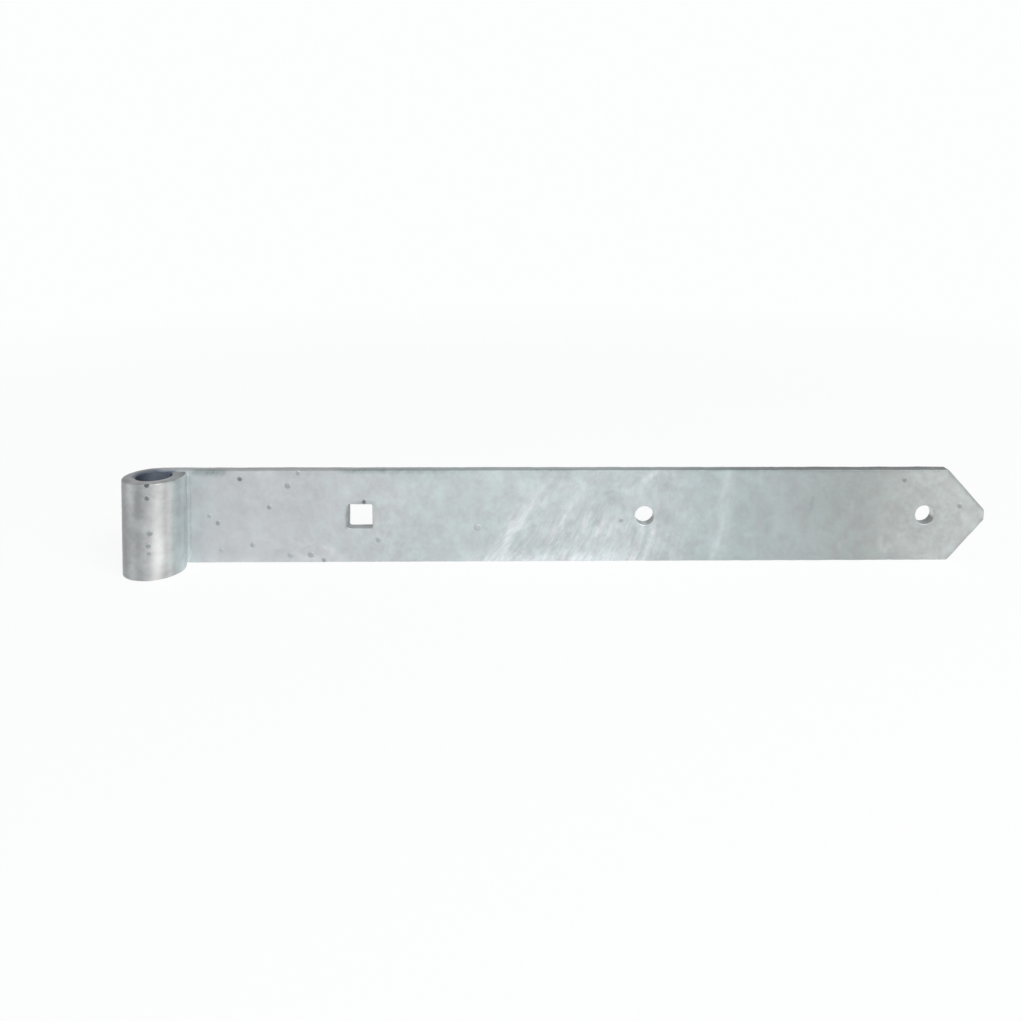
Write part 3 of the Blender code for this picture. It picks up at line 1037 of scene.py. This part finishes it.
# Where it varies, in millimetres on the blank: (from, to), and how much it has at each, or none and all
DRAG_LEAN = (165.0, 260.0, 0.76, 0.18)
DRAG_STARTS, DRAG_ENDS = (130.0, 182.0), (262.0, 228.0)
DRAG_GROWS_DOWN = (40.0, 0.0, 0.45, 1.0)
EDGE_WEAR_TO_POINT = (240.0, 315.0, 0.50, 0.86)
EDGE_WEAR_ROUND_EYE = (-2.0, -20.0, 0.0, 0.12)
EDGE_WEAR_TO_SEAM = (-45.0, -54.0, 0.0, 0.2)
WARM_TO_POINT = (300.0, 350.0)
WARM_HIGHLIGHT_START, WARM_HIGHLIGHT_END = (-35.0, -39.0), (-47.0, -43.0)

# The same for the bore's painted shade, a slate tone which reaches over its rim at the back of the eye
BORE_STARTS = (9.0, 5.0)
BORE_FULL, BORE_GONE = 8.0, 8.6
RIM_AT_BACK, RIM_REACH, RIM_REACH_LEFT = (-25.0, -18.0), 1.4, 1.9
RIM_LEFT_STARTS, RIM_LEFT_ENDS = (1.5, -4.0), (-17.0, -11.0)
FULL_PER_REACH, GONE_PER_REACH = 0.35, 1.6
RIM_DEPTH, RIM_HEIGHT = (8.02, 8.3), (43.8, 44.6)
DARKER_DOWN, DARKER_DOWN_SHARE, DARKER_LEFT = (44.0, 34.0), 0.25, (-2.0, -15.0)


def bore_painted_shade(w, finish, place, colour):
    """The colour with the bore's painted shade laid over it, a slate tone which fades out over its rim.
    """
    x, depth, z = w.separate(place)
    on_left = w.stretch(x, RIM_LEFT_STARTS, RIM_LEFT_ENDS)
    reach = w.total(RIM_REACH, w.product(on_left, RIM_REACH_LEFT))
    reach = w.product(w.between(x, *RIM_AT_BACK), reach)
    fades_at = w.total(BORE_GONE, w.product(reach, GONE_PER_REACH))
    full_to = w.total(BORE_FULL, w.product(reach, FULL_PER_REACH))
    in_bore = w.product(w.between(depth, fades_at, full_to), w.between(x, *BORE_STARTS))
    # the painted shade is darkest on the left, deep down, at the rim and where it reaches over the rim
    at_rim = w.math("MAXIMUM", w.between(depth, *RIM_DEPTH), w.between(z, *RIM_HEIGHT))
    deep = w.product(w.between(z, *DARKER_DOWN), DARKER_DOWN_SHARE)
    dark = w.total(deep, w.between(x, *DARKER_LEFT), w.product(on_left, at_rim), clamp=True)
    return w.blend(in_bore, colour, w.blend(dark, opaque(finish.bore), opaque(finish.deep_bore_shade)))


def dipped_zinc(finish):
    """The strap's coat: soft clouds, leaning drag lines, dull cut edges with painted light and shade on
    some, and painted shade in the bore.
    """
    material, w, shader = new_material("dipped_zinc")
    place = w.vector("SCALE", w.attribute("blank", "Vector"), 1 / MM)
    tone, runs, cast = w.attribute("tone"), w.attribute("runs"), w.attribute("green_cast")
    edge, mottle = w.attribute("cut_edge"), w.attribute("mottle")
    x, _, z = w.separate(place)

    clouds = [group_node(w, "zinc_clouds", place=place, patch_size=size) for size, _ in CLOUDS]
    patches = clouds[1]
    lean = w.between(x, *DRAG_LEAN)
    lines, hairs = (
        group_node(w, "zinc_drag_lines", place=place, lean=lean, spacing=spacing, length=length)
        for spacing, length in DRAG_LINES
    )
    drag = w.product(w.stretch(x, DRAG_STARTS, DRAG_ENDS), w.between(z, *DRAG_GROWS_DOWN))
    for mask, (_, weight) in zip(clouds, CLOUDS):
        tone = w.total(tone, w.product(w.math("SUBTRACT", mask, 0.5), weight, mottle))
    both = w.total(w.product(lines, 0.5), w.product(hairs, 0.5))
    streaks = w.product(w.math("SUBTRACT", both, DRAG_MEAN), DRAG_STRENGTH, drag)
    broken = w.total(RUN_LEAST, w.product(both, RUN_BREAKS))
    drawn = w.total(streaks, w.product(runs, broken))
    # edges worn below 0 are made paler: painted light
    painted_light = w.product(w.math("MAXIMUM", w.product(edge, -1.0), 0.0), EDGE_PAINTED_LIGHT)
    tone = w.total(tone, w.total(drawn, painted_light), clamp=True)
    # the drawn-out pale zinc is neutral, and the dull zinc between it greener
    greener = w.product(w.math("SUBTRACT", patches, 0.5), GREEN_PATCHES)
    cast = w.total(cast, w.math("SUBTRACT", greener, drawn), clamp=True)

    wear = w.total(w.between(x, *EDGE_WEAR_TO_POINT), w.between(x, *EDGE_WEAR_ROUND_EYE))
    wear = w.total(wear, w.between(x, *EDGE_WEAR_TO_SEAM), w.product(patches, WORN_PATCHES))
    worn = w.math("MAXIMUM", w.product(edge, wear), 0.0)
    colour = zinc_colour(w, finish, tone, cast, worn, finish.cut_edge)
    colour = w.tint(w.between(x, *WARM_TO_POINT), colour, opaque(finish.warm))
    # a warm tint on the eye's painted highlight
    on_highlight = w.stretch(x, WARM_HIGHLIGHT_START, WARM_HIGHLIGHT_END)
    colour = w.tint(on_highlight, colour, opaque(finish.eye_highlight_warm))
    w.feed(shader.inputs["Base Color"], bore_painted_shade(w, finish, place, colour))
    roughness = w.total(finish.roughness - PATCH_ROUGHNESS / 2, w.product(patches, PATCH_ROUGHNESS))
    roughness = w.total(roughness, w.product(worn, WORN_ROUGHNESS))
    w.feed(shader.inputs["Roughness"], roughness)
    shader.inputs["Metallic"].default_value = finish.metallic
    grain = group_node(w, "zinc_grain", place=place, grain_size=COAT_GRAIN)
    height = w.total(grain, w.product(lines, drag, DRAG_RELIEF))
    add_bump(w, shader, height, COAT_BUMP, COAT_BUMP_HEIGHT)
    return material


def add_bump(w, shader, height, strength, distance):
    bump = w.add("ShaderNodeBump", {"Height": height, "Strength": strength, "Distance": distance})
    w.feed(shader.inputs["Normal"], bump.outputs[0])


PIMPLE_TONE = 0.42  # the foot of a pimple, where the zinc round it is no duller
CROWN_FROM, CROWN_DULLER, CROWN_CLOUDS = (0.15, 1.0), 0.3, (0.9, 0.2, 0.8, 1.0)
DROSS_CLOUD_SIZE, DROSS_CLOUDS, DROSS_CAST, DROSS_ROUGHNESS = 1.5, 0.1, 0.3, 0.6
DROSS_GRAIN, DROSS_BUMP, DROSS_BUMP_HEIGHT = 0.4, 0.5, 0.1 * MM


def dross_zinc(finish):
    """The pimples' darker, rougher zinc."""
    material, w, shader = new_material("dross_zinc")
    place = w.vector("SCALE", w.add("ShaderNodeTexCoord").outputs["Object"], 1 / MM)
    clouds = group_node(w, "zinc_clouds", place=place, patch_size=DROSS_CLOUD_SIZE)
    crown = w.product(w.between(w.attribute("rise"), *CROWN_FROM), w.attribute("dark"))
    duller = w.total(w.attribute("duller"), w.product(crown, CROWN_DULLER))
    tone = w.math("SUBTRACT", PIMPLE_TONE, duller)
    tone = w.total(tone, w.product(clouds, DROSS_CLOUDS), clamp=True)
    worn = w.product(crown, w.between(clouds, *CROWN_CLOUDS))
    colour = zinc_colour(w, finish, tone, DROSS_CAST, worn, finish.dross)
    w.feed(shader.inputs["Base Color"], colour)
    shader.inputs["Metallic"].default_value = finish.metallic
    shader.inputs["Roughness"].default_value = DROSS_ROUGHNESS
    grain = group_node(w, "zinc_grain", place=place, grain_size=DROSS_GRAIN)
    add_bump(w, shader, grain, DROSS_BUMP, DROSS_BUMP_HEIGHT)
    return material


def seen_directly(w):
    """1 for rays that show the background itself, by sight or in a reflection, and 0 for its light."""
    rays = w.add("ShaderNodeLightPath").outputs
    seen = w.total(rays["Is Camera Ray"], rays["Is Glossy Ray"])
    return w.total(seen, rays["Is Transmission Ray"], clamp=True)


FLOOR_ROUGHNESS = 0.9
FLOOR_FADE = (0.3, 1.2)  # metres from the strap's middle, from where it keeps its shadow to plain white


def pale_floor(studio):
    """A matt pale floor: it shows most of the background's white, and keeps a part of every shadow."""
    material, w, shader = new_material("pale_floor")
    shader.inputs["Base Color"].default_value = opaque(studio.background)
    shader.inputs["Roughness"].default_value = FLOOR_ROUGHNESS
    shader.inputs["Specular IOR Level"].default_value = 0.0
    white = w.add("ShaderNodeEmission", {"Color": opaque(studio.background), "Strength": 1.0})
    place = w.add("ShaderNodeTexCoord").outputs["Object"]
    away = w.vector("DISTANCE", place, (REACH / 2, 0.0, 0.0))
    share = w.product(seen_directly(w), w.between(away, *FLOOR_FADE, studio.floor_glow, 1.0))
    mixed = w.add("ShaderNodeMixShader", {0: share, 1: shader.outputs[0], 2: white.outputs[0]})
    output = next(node for node in w.tree.nodes if node.type == "OUTPUT_MATERIAL")
    w.feed(output.inputs["Surface"], mixed.outputs[0])
    return material


# Sizes and colours that a user would change


def length_property(name, description, millimetres):
    return bpy.props.FloatProperty(
        name=name, description=description, default=millimetres * MM, unit="LENGTH"
    )


def angle_property(name, description, degrees):
    return bpy.props.FloatProperty(
        name=name, description=description, default=math.radians(degrees), unit="ROTATION"
    )


def share_property(name, description, default):
    return bpy.props.FloatProperty(
        name=name, description=description, default=default, min=0.0, max=1.0
    )


def colour_property(name, description, default):
    return bpy.props.FloatVectorProperty(
        name=name, description=description, default=default, subtype="COLOR", size=3, min=0.0, max=1.0
    )


class StrapSizes(bpy.types.PropertyGroup):
    """Sizes of the bar and its holes."""

    thickness: length_property("Thickness", "Thickness of the flat bar", 6.0)
    seam_gap: length_property("Seam gap", "Gap of the rolled end, outside", 0.4)
    seam_mouth: length_property("Seam mouth", "Gap of the rolled end, in the bore", 2.0)
    point_length: length_property("Point length", "Length of the pointed end", 18.0)
    point_blunt: length_property("Blunt tip", "Height of the blunt cut at the tip", 5.0)
    square_hole: length_property("Square hole", "Side of the square hole", 11.5)
    square_hole_corner: length_property("Square hole corner", "Rounding of its corners", 0.8)
    square_hole_reach: length_property(
        "Square hole reach", "Distance of the square hole from the eye's axis", 95.0
    )
    round_hole: length_property("Round holes", "Diameter of the two round holes", 9.0)
    tip_hole_setback: length_property("Tip hole setback", "Distance of the last hole to the tip", 29.5)


class ZincFinish(bpy.types.PropertyGroup):
    """Colours and relief of the hot-dip zinc."""

    dull: colour_property("Dull zinc", "Colour of the dullest zinc", (0.270, 0.278, 0.285))
    pale: colour_property("Pale zinc", "Colour of the palest runs", (0.735, 0.755, 0.775))
    green: colour_property("Green cast", "Tint of the greenish patches", (0.84, 1.0, 0.97))
    warm: colour_property("Warm cast", "Tint of the zinc near the point", (0.99, 1.0, 0.965))
    # tint of the eye's painted highlight
    eye_highlight_warm: colour_property("Warm bands", "Tint of the eye's bright bands", (1.0, 0.975, 0.945))
    cut_edge: colour_property("Cut edges", "Colour of the rough cut edges", (0.11, 0.115, 0.12))
    # the bore's two colours are painted shade inside the eye, lighter and deeper
    bore: colour_property("Bore", "Colour of the zinc inside the eye", (0.205, 0.24, 0.295))
    deep_bore_shade: colour_property("Deep bore", "Colour deep inside the eye", (0.075, 0.09, 0.12))
    dross: colour_property("Dross", "Colour of the pimples", (0.10, 0.105, 0.11))
    metallic: share_property("Metallic", "How metallic the coat is", 0.5)
    roughness: share_property("Roughness", "Mean roughness of the coat", 0.45)
    skin_relief: length_property("Skin relief", "Depth of the skin's lumps", 0.12)
    lump_size: length_property("Lump size", "Distance between lumps of the skin", 7.0)


class StudioSettings(bpy.types.PropertyGroup):
    """The floor, the lights and where the camera stands."""

    background: colour_property("Background", "Colour of the floor and backdrop", (0.98, 0.985, 0.985))
    floor_glow: share_property("Floor glow", "Share of the floor that shows plain white", 0.9)
    sky: bpy.props.FloatProperty(
        name="Sky", description="Strength of the light from all round", default=0.45
    )
    softbox_power: bpy.props.FloatProperty(
        name="Softbox",
        description="Power of the softbox in front, on the right",
        default=40.0,
        unit="POWER",
    )
    camera_place: bpy.props.FloatVectorProperty(
        name="Camera",
        description="Where the camera stands",
        default=(0.178457, -0.433441, 0.174347),
        subtype="TRANSLATION",
        unit="LENGTH",
    )
    camera_yaw: angle_property("Yaw", "Turn of the view towards the point", 1.441)
    camera_pitch: angle_property("Pitch", "How far the view looks down", 2.605)
    camera_roll: angle_property("Roll", "Tilt of the view", 0.336)


# The photograph's frame, in its pixels: its side, where the view's axis meets it, and the focal length
IMAGE_SIDE = 1021
AXIS_COLUMN = 557.49
AXIS_ROW = 244.83
FOCAL_LENGTH = 922.76
SENSOR_WIDTH = 36.0
CLIP_START, CLIP_END = 0.01, 60.0

FLOOR_REACH = 12.0
SOFTBOX_SIZE = (1.5, 1.1)
SOFTBOX_AIM = Vector((0.15, 0.0, 0.03))
SOFTBOX_AWAY = 2.2
SOFTBOX_TURN, SOFTBOX_RISE = math.radians(33.0), math.radians(38.0)


# The pieces


class HINGE_OT_strap(bpy.types.Operator):
    """Build the rolled, pierced and dipped strap"""

    bl_idname = "strap_hinge.strap"
    bl_label = "Strap"

    def execute(self, context):
        finish = context.scene.zinc_finish
        blank = Blank(context.scene.strap_sizes)
        points, faces, worn = blank.mesh()
        mesh = bpy.data.meshes.new("galvanised_strap")
        mesh.from_pydata(points.tolist(), [], faces)
        tone, runs = zinc_tone(points, blank)
        cast, mottle = read_along(CAST_ALONG, points), read_along(MOTTLE_ALONG, points)
        store(mesh, tone=tone, runs=runs, green_cast=cast, mottle=mottle, cut_edge=worn)
        if mesh.validate():
            raise RuntimeError("the blank's mesh has faces that Blender had to mend")
        strap = with_nodes(
            link_object("galvanised_strap", mesh),
            rolling_tree(),
            rolled_radius=blank.mid,
            skin_relief=finish.skin_relief,
            lump_size=finish.lump_size,
            material=dipped_zinc(finish),
        )
        hand_over(strap, STRAP_NODE)
        return {"FINISHED"}


# The bead of zinc along the seam: its radius, how that ripples, and how it tapers at both ends
BEAD_RADIUS, BEAD_RIPPLE = 1.6 * MM, 0.2 * MM
BEAD_WAVES = ((0.0, 5.0, 150.0, 1.0), (9.0, 0.0, 500.0, 0.5))  # (x, y, scale in the noise, strength)
BEAD_STEP = 0.8 * MM
BEAD_CLEAR = 0.012  # the share of the bar's width that it leaves free at each end
BEAD_TAPER, BEAD_TAPER_ROWS = 0.4, 3
BEAD_ARC_STEPS = 8
BEAD_SUNK_EDGE = 1.03  # its arc's two ends lie in the metal, this many radii from the arc's centre
BEAD_ROOT = 0.82  # its root's place in the crevice, as a share of the eye's radius
BEAD_ROOT_BEHIND, BEAD_ROOT_AHEAD = 0.3 * MM, 1.3 * MM
BEAD_SMOOTH_UNDER = math.radians(40.0)
BEAD_CAST, BEAD_MOTTLE = 0.4, 1.5
# (millimetres up the bead, tone): painted light against the crevice's shade, palest at its foot, and
# darkest at its top as painted shade over its highlight
BEAD_TONE_AND_LIGHT_UP = ((0, 0.74), (5, 0.62), (10, 0.44), (25, 0.35), (31, 0.41), (36, 0.41), (45, 0.28))
# (millimetres beyond the eye's side, added tone): painted light where the bead leaves the roll, against
# the crevice's shade
BEAD_PAINTED_LIGHT_ACROSS = ((-1.2, 0.14), (-0.85, -0.04), (0.2, -0.05))


class HINGE_OT_seam(bpy.types.Operator):
    """Fill the crevice between the rolled end and the strap with a thin bead of zinc"""

    bl_idname = "strap_hinge.seam"
    bl_label = "Seam bead"

    def execute(self, context):
        blank = Blank(context.scene.strap_sizes)
        rows = round(BAR_WIDTH / BEAD_STEP)
        points = []
        for row in range(rows + 1):
            z = BAR_WIDTH * (BEAD_CLEAR + (1 - 2 * BEAD_CLEAR) * row / rows)
            ends = smooth(min(1.0, min(row, rows - row) / BEAD_TAPER_ROWS))
            ripple = 0.0
            for x, y, scale, strength in BEAD_WAVES:
                ripple += strength * noise.noise(Vector((x, y, z * scale)))
            radius = (1 - BEAD_TAPER + BEAD_TAPER * ends) * (BEAD_RADIUS + BEAD_RIPPLE * ripple)
            points += bead_section(blank, radius, z)
        around = len(points) // (rows + 1)
        faces = [tuple(range(around)), tuple(reversed(range(len(points) - around, len(points))))]
        for row in range(rows):
            for i in range(around):
                j = (i + 1) % around
                low, high = row * around, (row + 1) * around
                faces.append((low + j, low + i, high + i, high + j))
        mesh = bpy.data.meshes.new("zinc_seam_bead")
        mesh.from_pydata(points, [], faces)
        places = np.array(points)
        store(mesh, "FLOAT_VECTOR", blank=places * (1, 0, 1) + (0, blank.front, 0))
        across = np.interp((places[:, 0] - blank.back) / MM, *zip(*BEAD_PAINTED_LIGHT_ACROSS))
        tone = np.interp(places[:, 2] / MM, *zip(*BEAD_TONE_AND_LIGHT_UP)) + across
        even = np.ones(len(points))
        store(mesh, tone=tone, green_cast=BEAD_CAST * even, mottle=BEAD_MOTTLE * even)
        mesh.materials.append(bpy.data.materials["dipped_zinc"])
        mesh.shade_smooth()
        mesh.set_sharp_from_angle(angle=BEAD_SMOOTH_UNDER)
        hand_over(link_object("zinc_seam_bead", mesh))
        return {"FINISHED"}


def bead_section(blank, radius, z):
    """The bead's section at one height: a hollow arc from the roll to the strap, and its root."""
    centre_y = blank.front - radius
    centre_x = math.sqrt((blank.back + radius) ** 2 - centre_y**2)
    on_roll = math.atan2(-centre_y, -centre_x) + math.tau
    on_strap = math.pi / 2
    section = []
    for step in range(BEAD_ARC_STEPS + 1):
        angle = on_roll + (on_strap - on_roll) * step / BEAD_ARC_STEPS
        reach = radius * (BEAD_SUNK_EDGE if step in (0, BEAD_ARC_STEPS) else 1.0)
        section.append((centre_x + reach * math.cos(angle), centre_y + reach * math.sin(angle), z))
    root_x = blank.back * BEAD_ROOT
    section.append((root_x, blank.front + BEAD_ROOT_BEHIND, z))
    section.append((root_x, blank.front - BEAD_ROOT_AHEAD, z))
    return section


# Pimples seen on the strap's front and on the eye: (along the blank, up it and radius in millimetres,
# and how dark they are)
STRAP_PIMPLES = (
    (37.6, 40.9, 1.35, 0.80),
    (60.5, 37.7, 1.65, 0.34),
    (51.5, 27.1, 1.3, 0.46),
    (27.1, 19.5, 1.4, 0.40),
    (43.5, 8.6, 1.3, 0.28),
    (71.4, 3.8, 1.7, 0.28),
    (61.5, 3.5, 1.4, 0.24),
    (28.5, 6.0, 1.2, 0.20),
    (23.0, 23.0, 1.2, 0.18),
    (65.4, 43.8, 1.3, 0.28),
    (77.6, 1.3, 1.3, 0.38),
    (97.0, 29.6, 1.3, 0.90),
    (103.8, 11.0, 1.5, 0.26),
    (151.7, 17.0, 1.8, 0.24),
    (221.3, 20.4, 1.25, 0.34),
    (360.2, 39.9, 1.3, 0.50),
    (387.8, 26.9, 1.4, 0.46),
)
EYE_PIMPLES = (
    (-36.4, 44.7, 1.3, 2.2),
    (-36.4, 38.6, 1.35, 0.80),
    (-37.2, 22.3, 1.4, 0.42),
    (-36.6, 16.5, 1.3, 0.40),
    (-36.9, 13.0, 1.1, 0.28),
)


class HINGE_OT_pimples(bpy.types.Operator):
    """Sit the pimples of zinc dross on the strap"""

    bl_idname = "strap_hinge.pimples"
    bl_label = "Zinc pimples"

    def execute(self, context):
        finish = context.scene.zinc_finish
        blank = Blank(context.scene.strap_sizes)
        places = [(along * MM, blank.front, up * MM) for along, up, _, _ in STRAP_PIMPLES]
        for along, up, _, _ in EYE_PIMPLES:
            turn = -along * MM / blank.mid
            places.append((-blank.back * math.sin(turn), blank.back * math.cos(turn), up * MM))
        mesh = bpy.data.meshes.new("zinc_pimples")
        mesh.from_pydata(places, [], [])
        listed = STRAP_PIMPLES + EYE_PIMPLES
        along, _, radii, darkness = np.array(listed).T
        duller = PIMPLE_TONE - np.interp(along, *zip(*TONE_ALONG))
        store(mesh, size=radii * MM, dark=darkness, duller=duller)
        pimples = with_nodes(
            link_object("zinc_pimples", mesh),
            pimple_tree(),
            strap=bpy.data.objects["galvanised_strap"],
            lowest=LOW,
            highest=HIGH,
            material=dross_zinc(finish),
        )
        hand_over(pimples)
        return {"FINISHED"}


class HINGE_OT_studio(bpy.types.Operator):
    """Lay the floor, hang the lights and set the camera"""

    bl_idname = "strap_hinge.studio"
    bl_label = "Studio"

    def execute(self, context):
        studio = context.scene.studio_settings
        self.floor(studio)
        self.sky(context.scene, studio)
        self.softbox(studio)
        self.camera(context.scene, studio)
        context.scene.view_settings.view_transform = "Standard"
        return {"FINISHED"}

    def floor(self, studio):
        shape = bmesh.new()
        bmesh.ops.create_grid(shape, x_segments=8, y_segments=8, size=FLOOR_REACH)
        mesh = bpy.data.meshes.new("floor")
        shape.to_mesh(mesh)
        shape.free()
        mesh.materials.append(pale_floor(studio))
        link_object("floor", mesh)

    def sky(self, scene, studio):
        world = bpy.data.worlds.new("studio")
        world.use_nodes = True
        scene.world = world
        w = Wiring(world.node_tree)
        light = next(node for node in w.tree.nodes if node.type == "BACKGROUND")
        light.inputs["Color"].default_value = (1.0, 1.0, 1.0, 1.0)
        light.inputs["Strength"].default_value = studio.sky
        white = w.add("ShaderNodeBackground", {"Color": opaque(studio.background), "Strength": 1.0})
        inputs = {0: seen_directly(w), 1: light.outputs[0], 2: white.outputs[0]}
        mixed = w.add("ShaderNodeMixShader", inputs)
        output = next(node for node in w.tree.nodes if node.type == "OUTPUT_WORLD")
        w.feed(output.inputs["Surface"], mixed.outputs[0])

    def softbox(self, studio):
        """One large softbox, high in front and to the right of the eye."""
        lamp = bpy.data.lights.new("softbox", "AREA")
        lamp.shape = "RECTANGLE"
        lamp.size, lamp.size_y = SOFTBOX_SIZE
        lamp.energy = studio.softbox_power
        box = link_object("softbox", lamp)
        level = math.cos(SOFTBOX_RISE)
        way = Vector(
            (math.sin(SOFTBOX_TURN) * level, -math.cos(SOFTBOX_TURN) * level, math.sin(SOFTBOX_RISE))
        )
        box.location = SOFTBOX_AIM + way * SOFTBOX_AWAY
        box.rotation_euler = (-way).to_track_quat("-Z", "Y").to_euler()
        box.visible_camera = False

    def camera(self, scene, studio):
        """The photograph's own view, its perspective included."""
        yaw, pitch, roll = studio.camera_yaw, studio.camera_pitch, studio.camera_roll
        across = math.cos(pitch)
        ahead = Vector((math.sin(yaw) * across, math.cos(yaw) * across, -math.sin(pitch)))
        level = Vector((math.cos(yaw), -math.sin(yaw), 0.0))
        above = level.cross(ahead)
        right = level * math.cos(roll) + above * math.sin(roll)
        up = above * math.cos(roll) - level * math.sin(roll)
        data = bpy.data.cameras.new("camera")
        data.sensor_width = SENSOR_WIDTH
        data.lens = FOCAL_LENGTH / IMAGE_SIDE * SENSOR_WIDTH
        data.shift_x = (IMAGE_SIDE / 2 - AXIS_COLUMN) / IMAGE_SIDE
        data.shift_y = (AXIS_ROW - IMAGE_SIDE / 2) / IMAGE_SIDE
        data.clip_start, data.clip_end = CLIP_START, CLIP_END
        camera = link_object("camera", data)
        turned = Matrix((right, up, -ahead)).transposed().to_4x4()
        camera.matrix_world = Matrix.Translation(Vector(studio.camera_place)) @ turned
        scene.camera = camera


class HINGE_PT_panel(bpy.types.Panel):
    """The strap hinge's pieces, sizes and colours"""

    bl_idname = "HINGE_PT_panel"
    bl_label = "Galvanised strap hinge"
    bl_space_type = "VIEW_3D"
    bl_region_type = "UI"
    bl_category = "Strap hinge"

    def draw(self, context):
        for operator in PIECES:
            self.layout.operator(operator.bl_idname)
        for label, settings in (
            ("Sizes", context.scene.strap_sizes),
            ("Zinc", context.scene.zinc_finish),
            ("Studio", context.scene.studio_settings),
        ):
            box = self.layout.box()
            box.label(text=label)
            for name in settings.__annotations__:
                box.prop(settings, name)


PIECES = (HINGE_OT_strap, HINGE_OT_seam, HINGE_OT_pimples, HINGE_OT_studio)
SETTINGS = {"strap_sizes": StrapSizes, "zinc_finish": ZincFinish, "studio_settings": StudioSettings}


def register():
    for group in (*SETTINGS.values(), *PIECES, HINGE_PT_panel):
        bpy.utils.register_class(group)
    for name, group in SETTINGS.items():
        setattr(bpy.types.Scene, name, bpy.props.PointerProperty(type=group))


def unregister():
    for name in SETTINGS:
        delattr(bpy.types.Scene, name)
    for group in reversed((*SETTINGS.values(), *PIECES, HINGE_PT_panel)):
        bpy.utils.unregister_class(group)


def main():
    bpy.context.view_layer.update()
    register()
    bpy.ops.strap_hinge.strap()
    bpy.ops.strap_hinge.seam()
    bpy.ops.strap_hinge.pimples()
    bpy.ops.strap_hinge.studio()


if __name__ == "__main__":
    main()
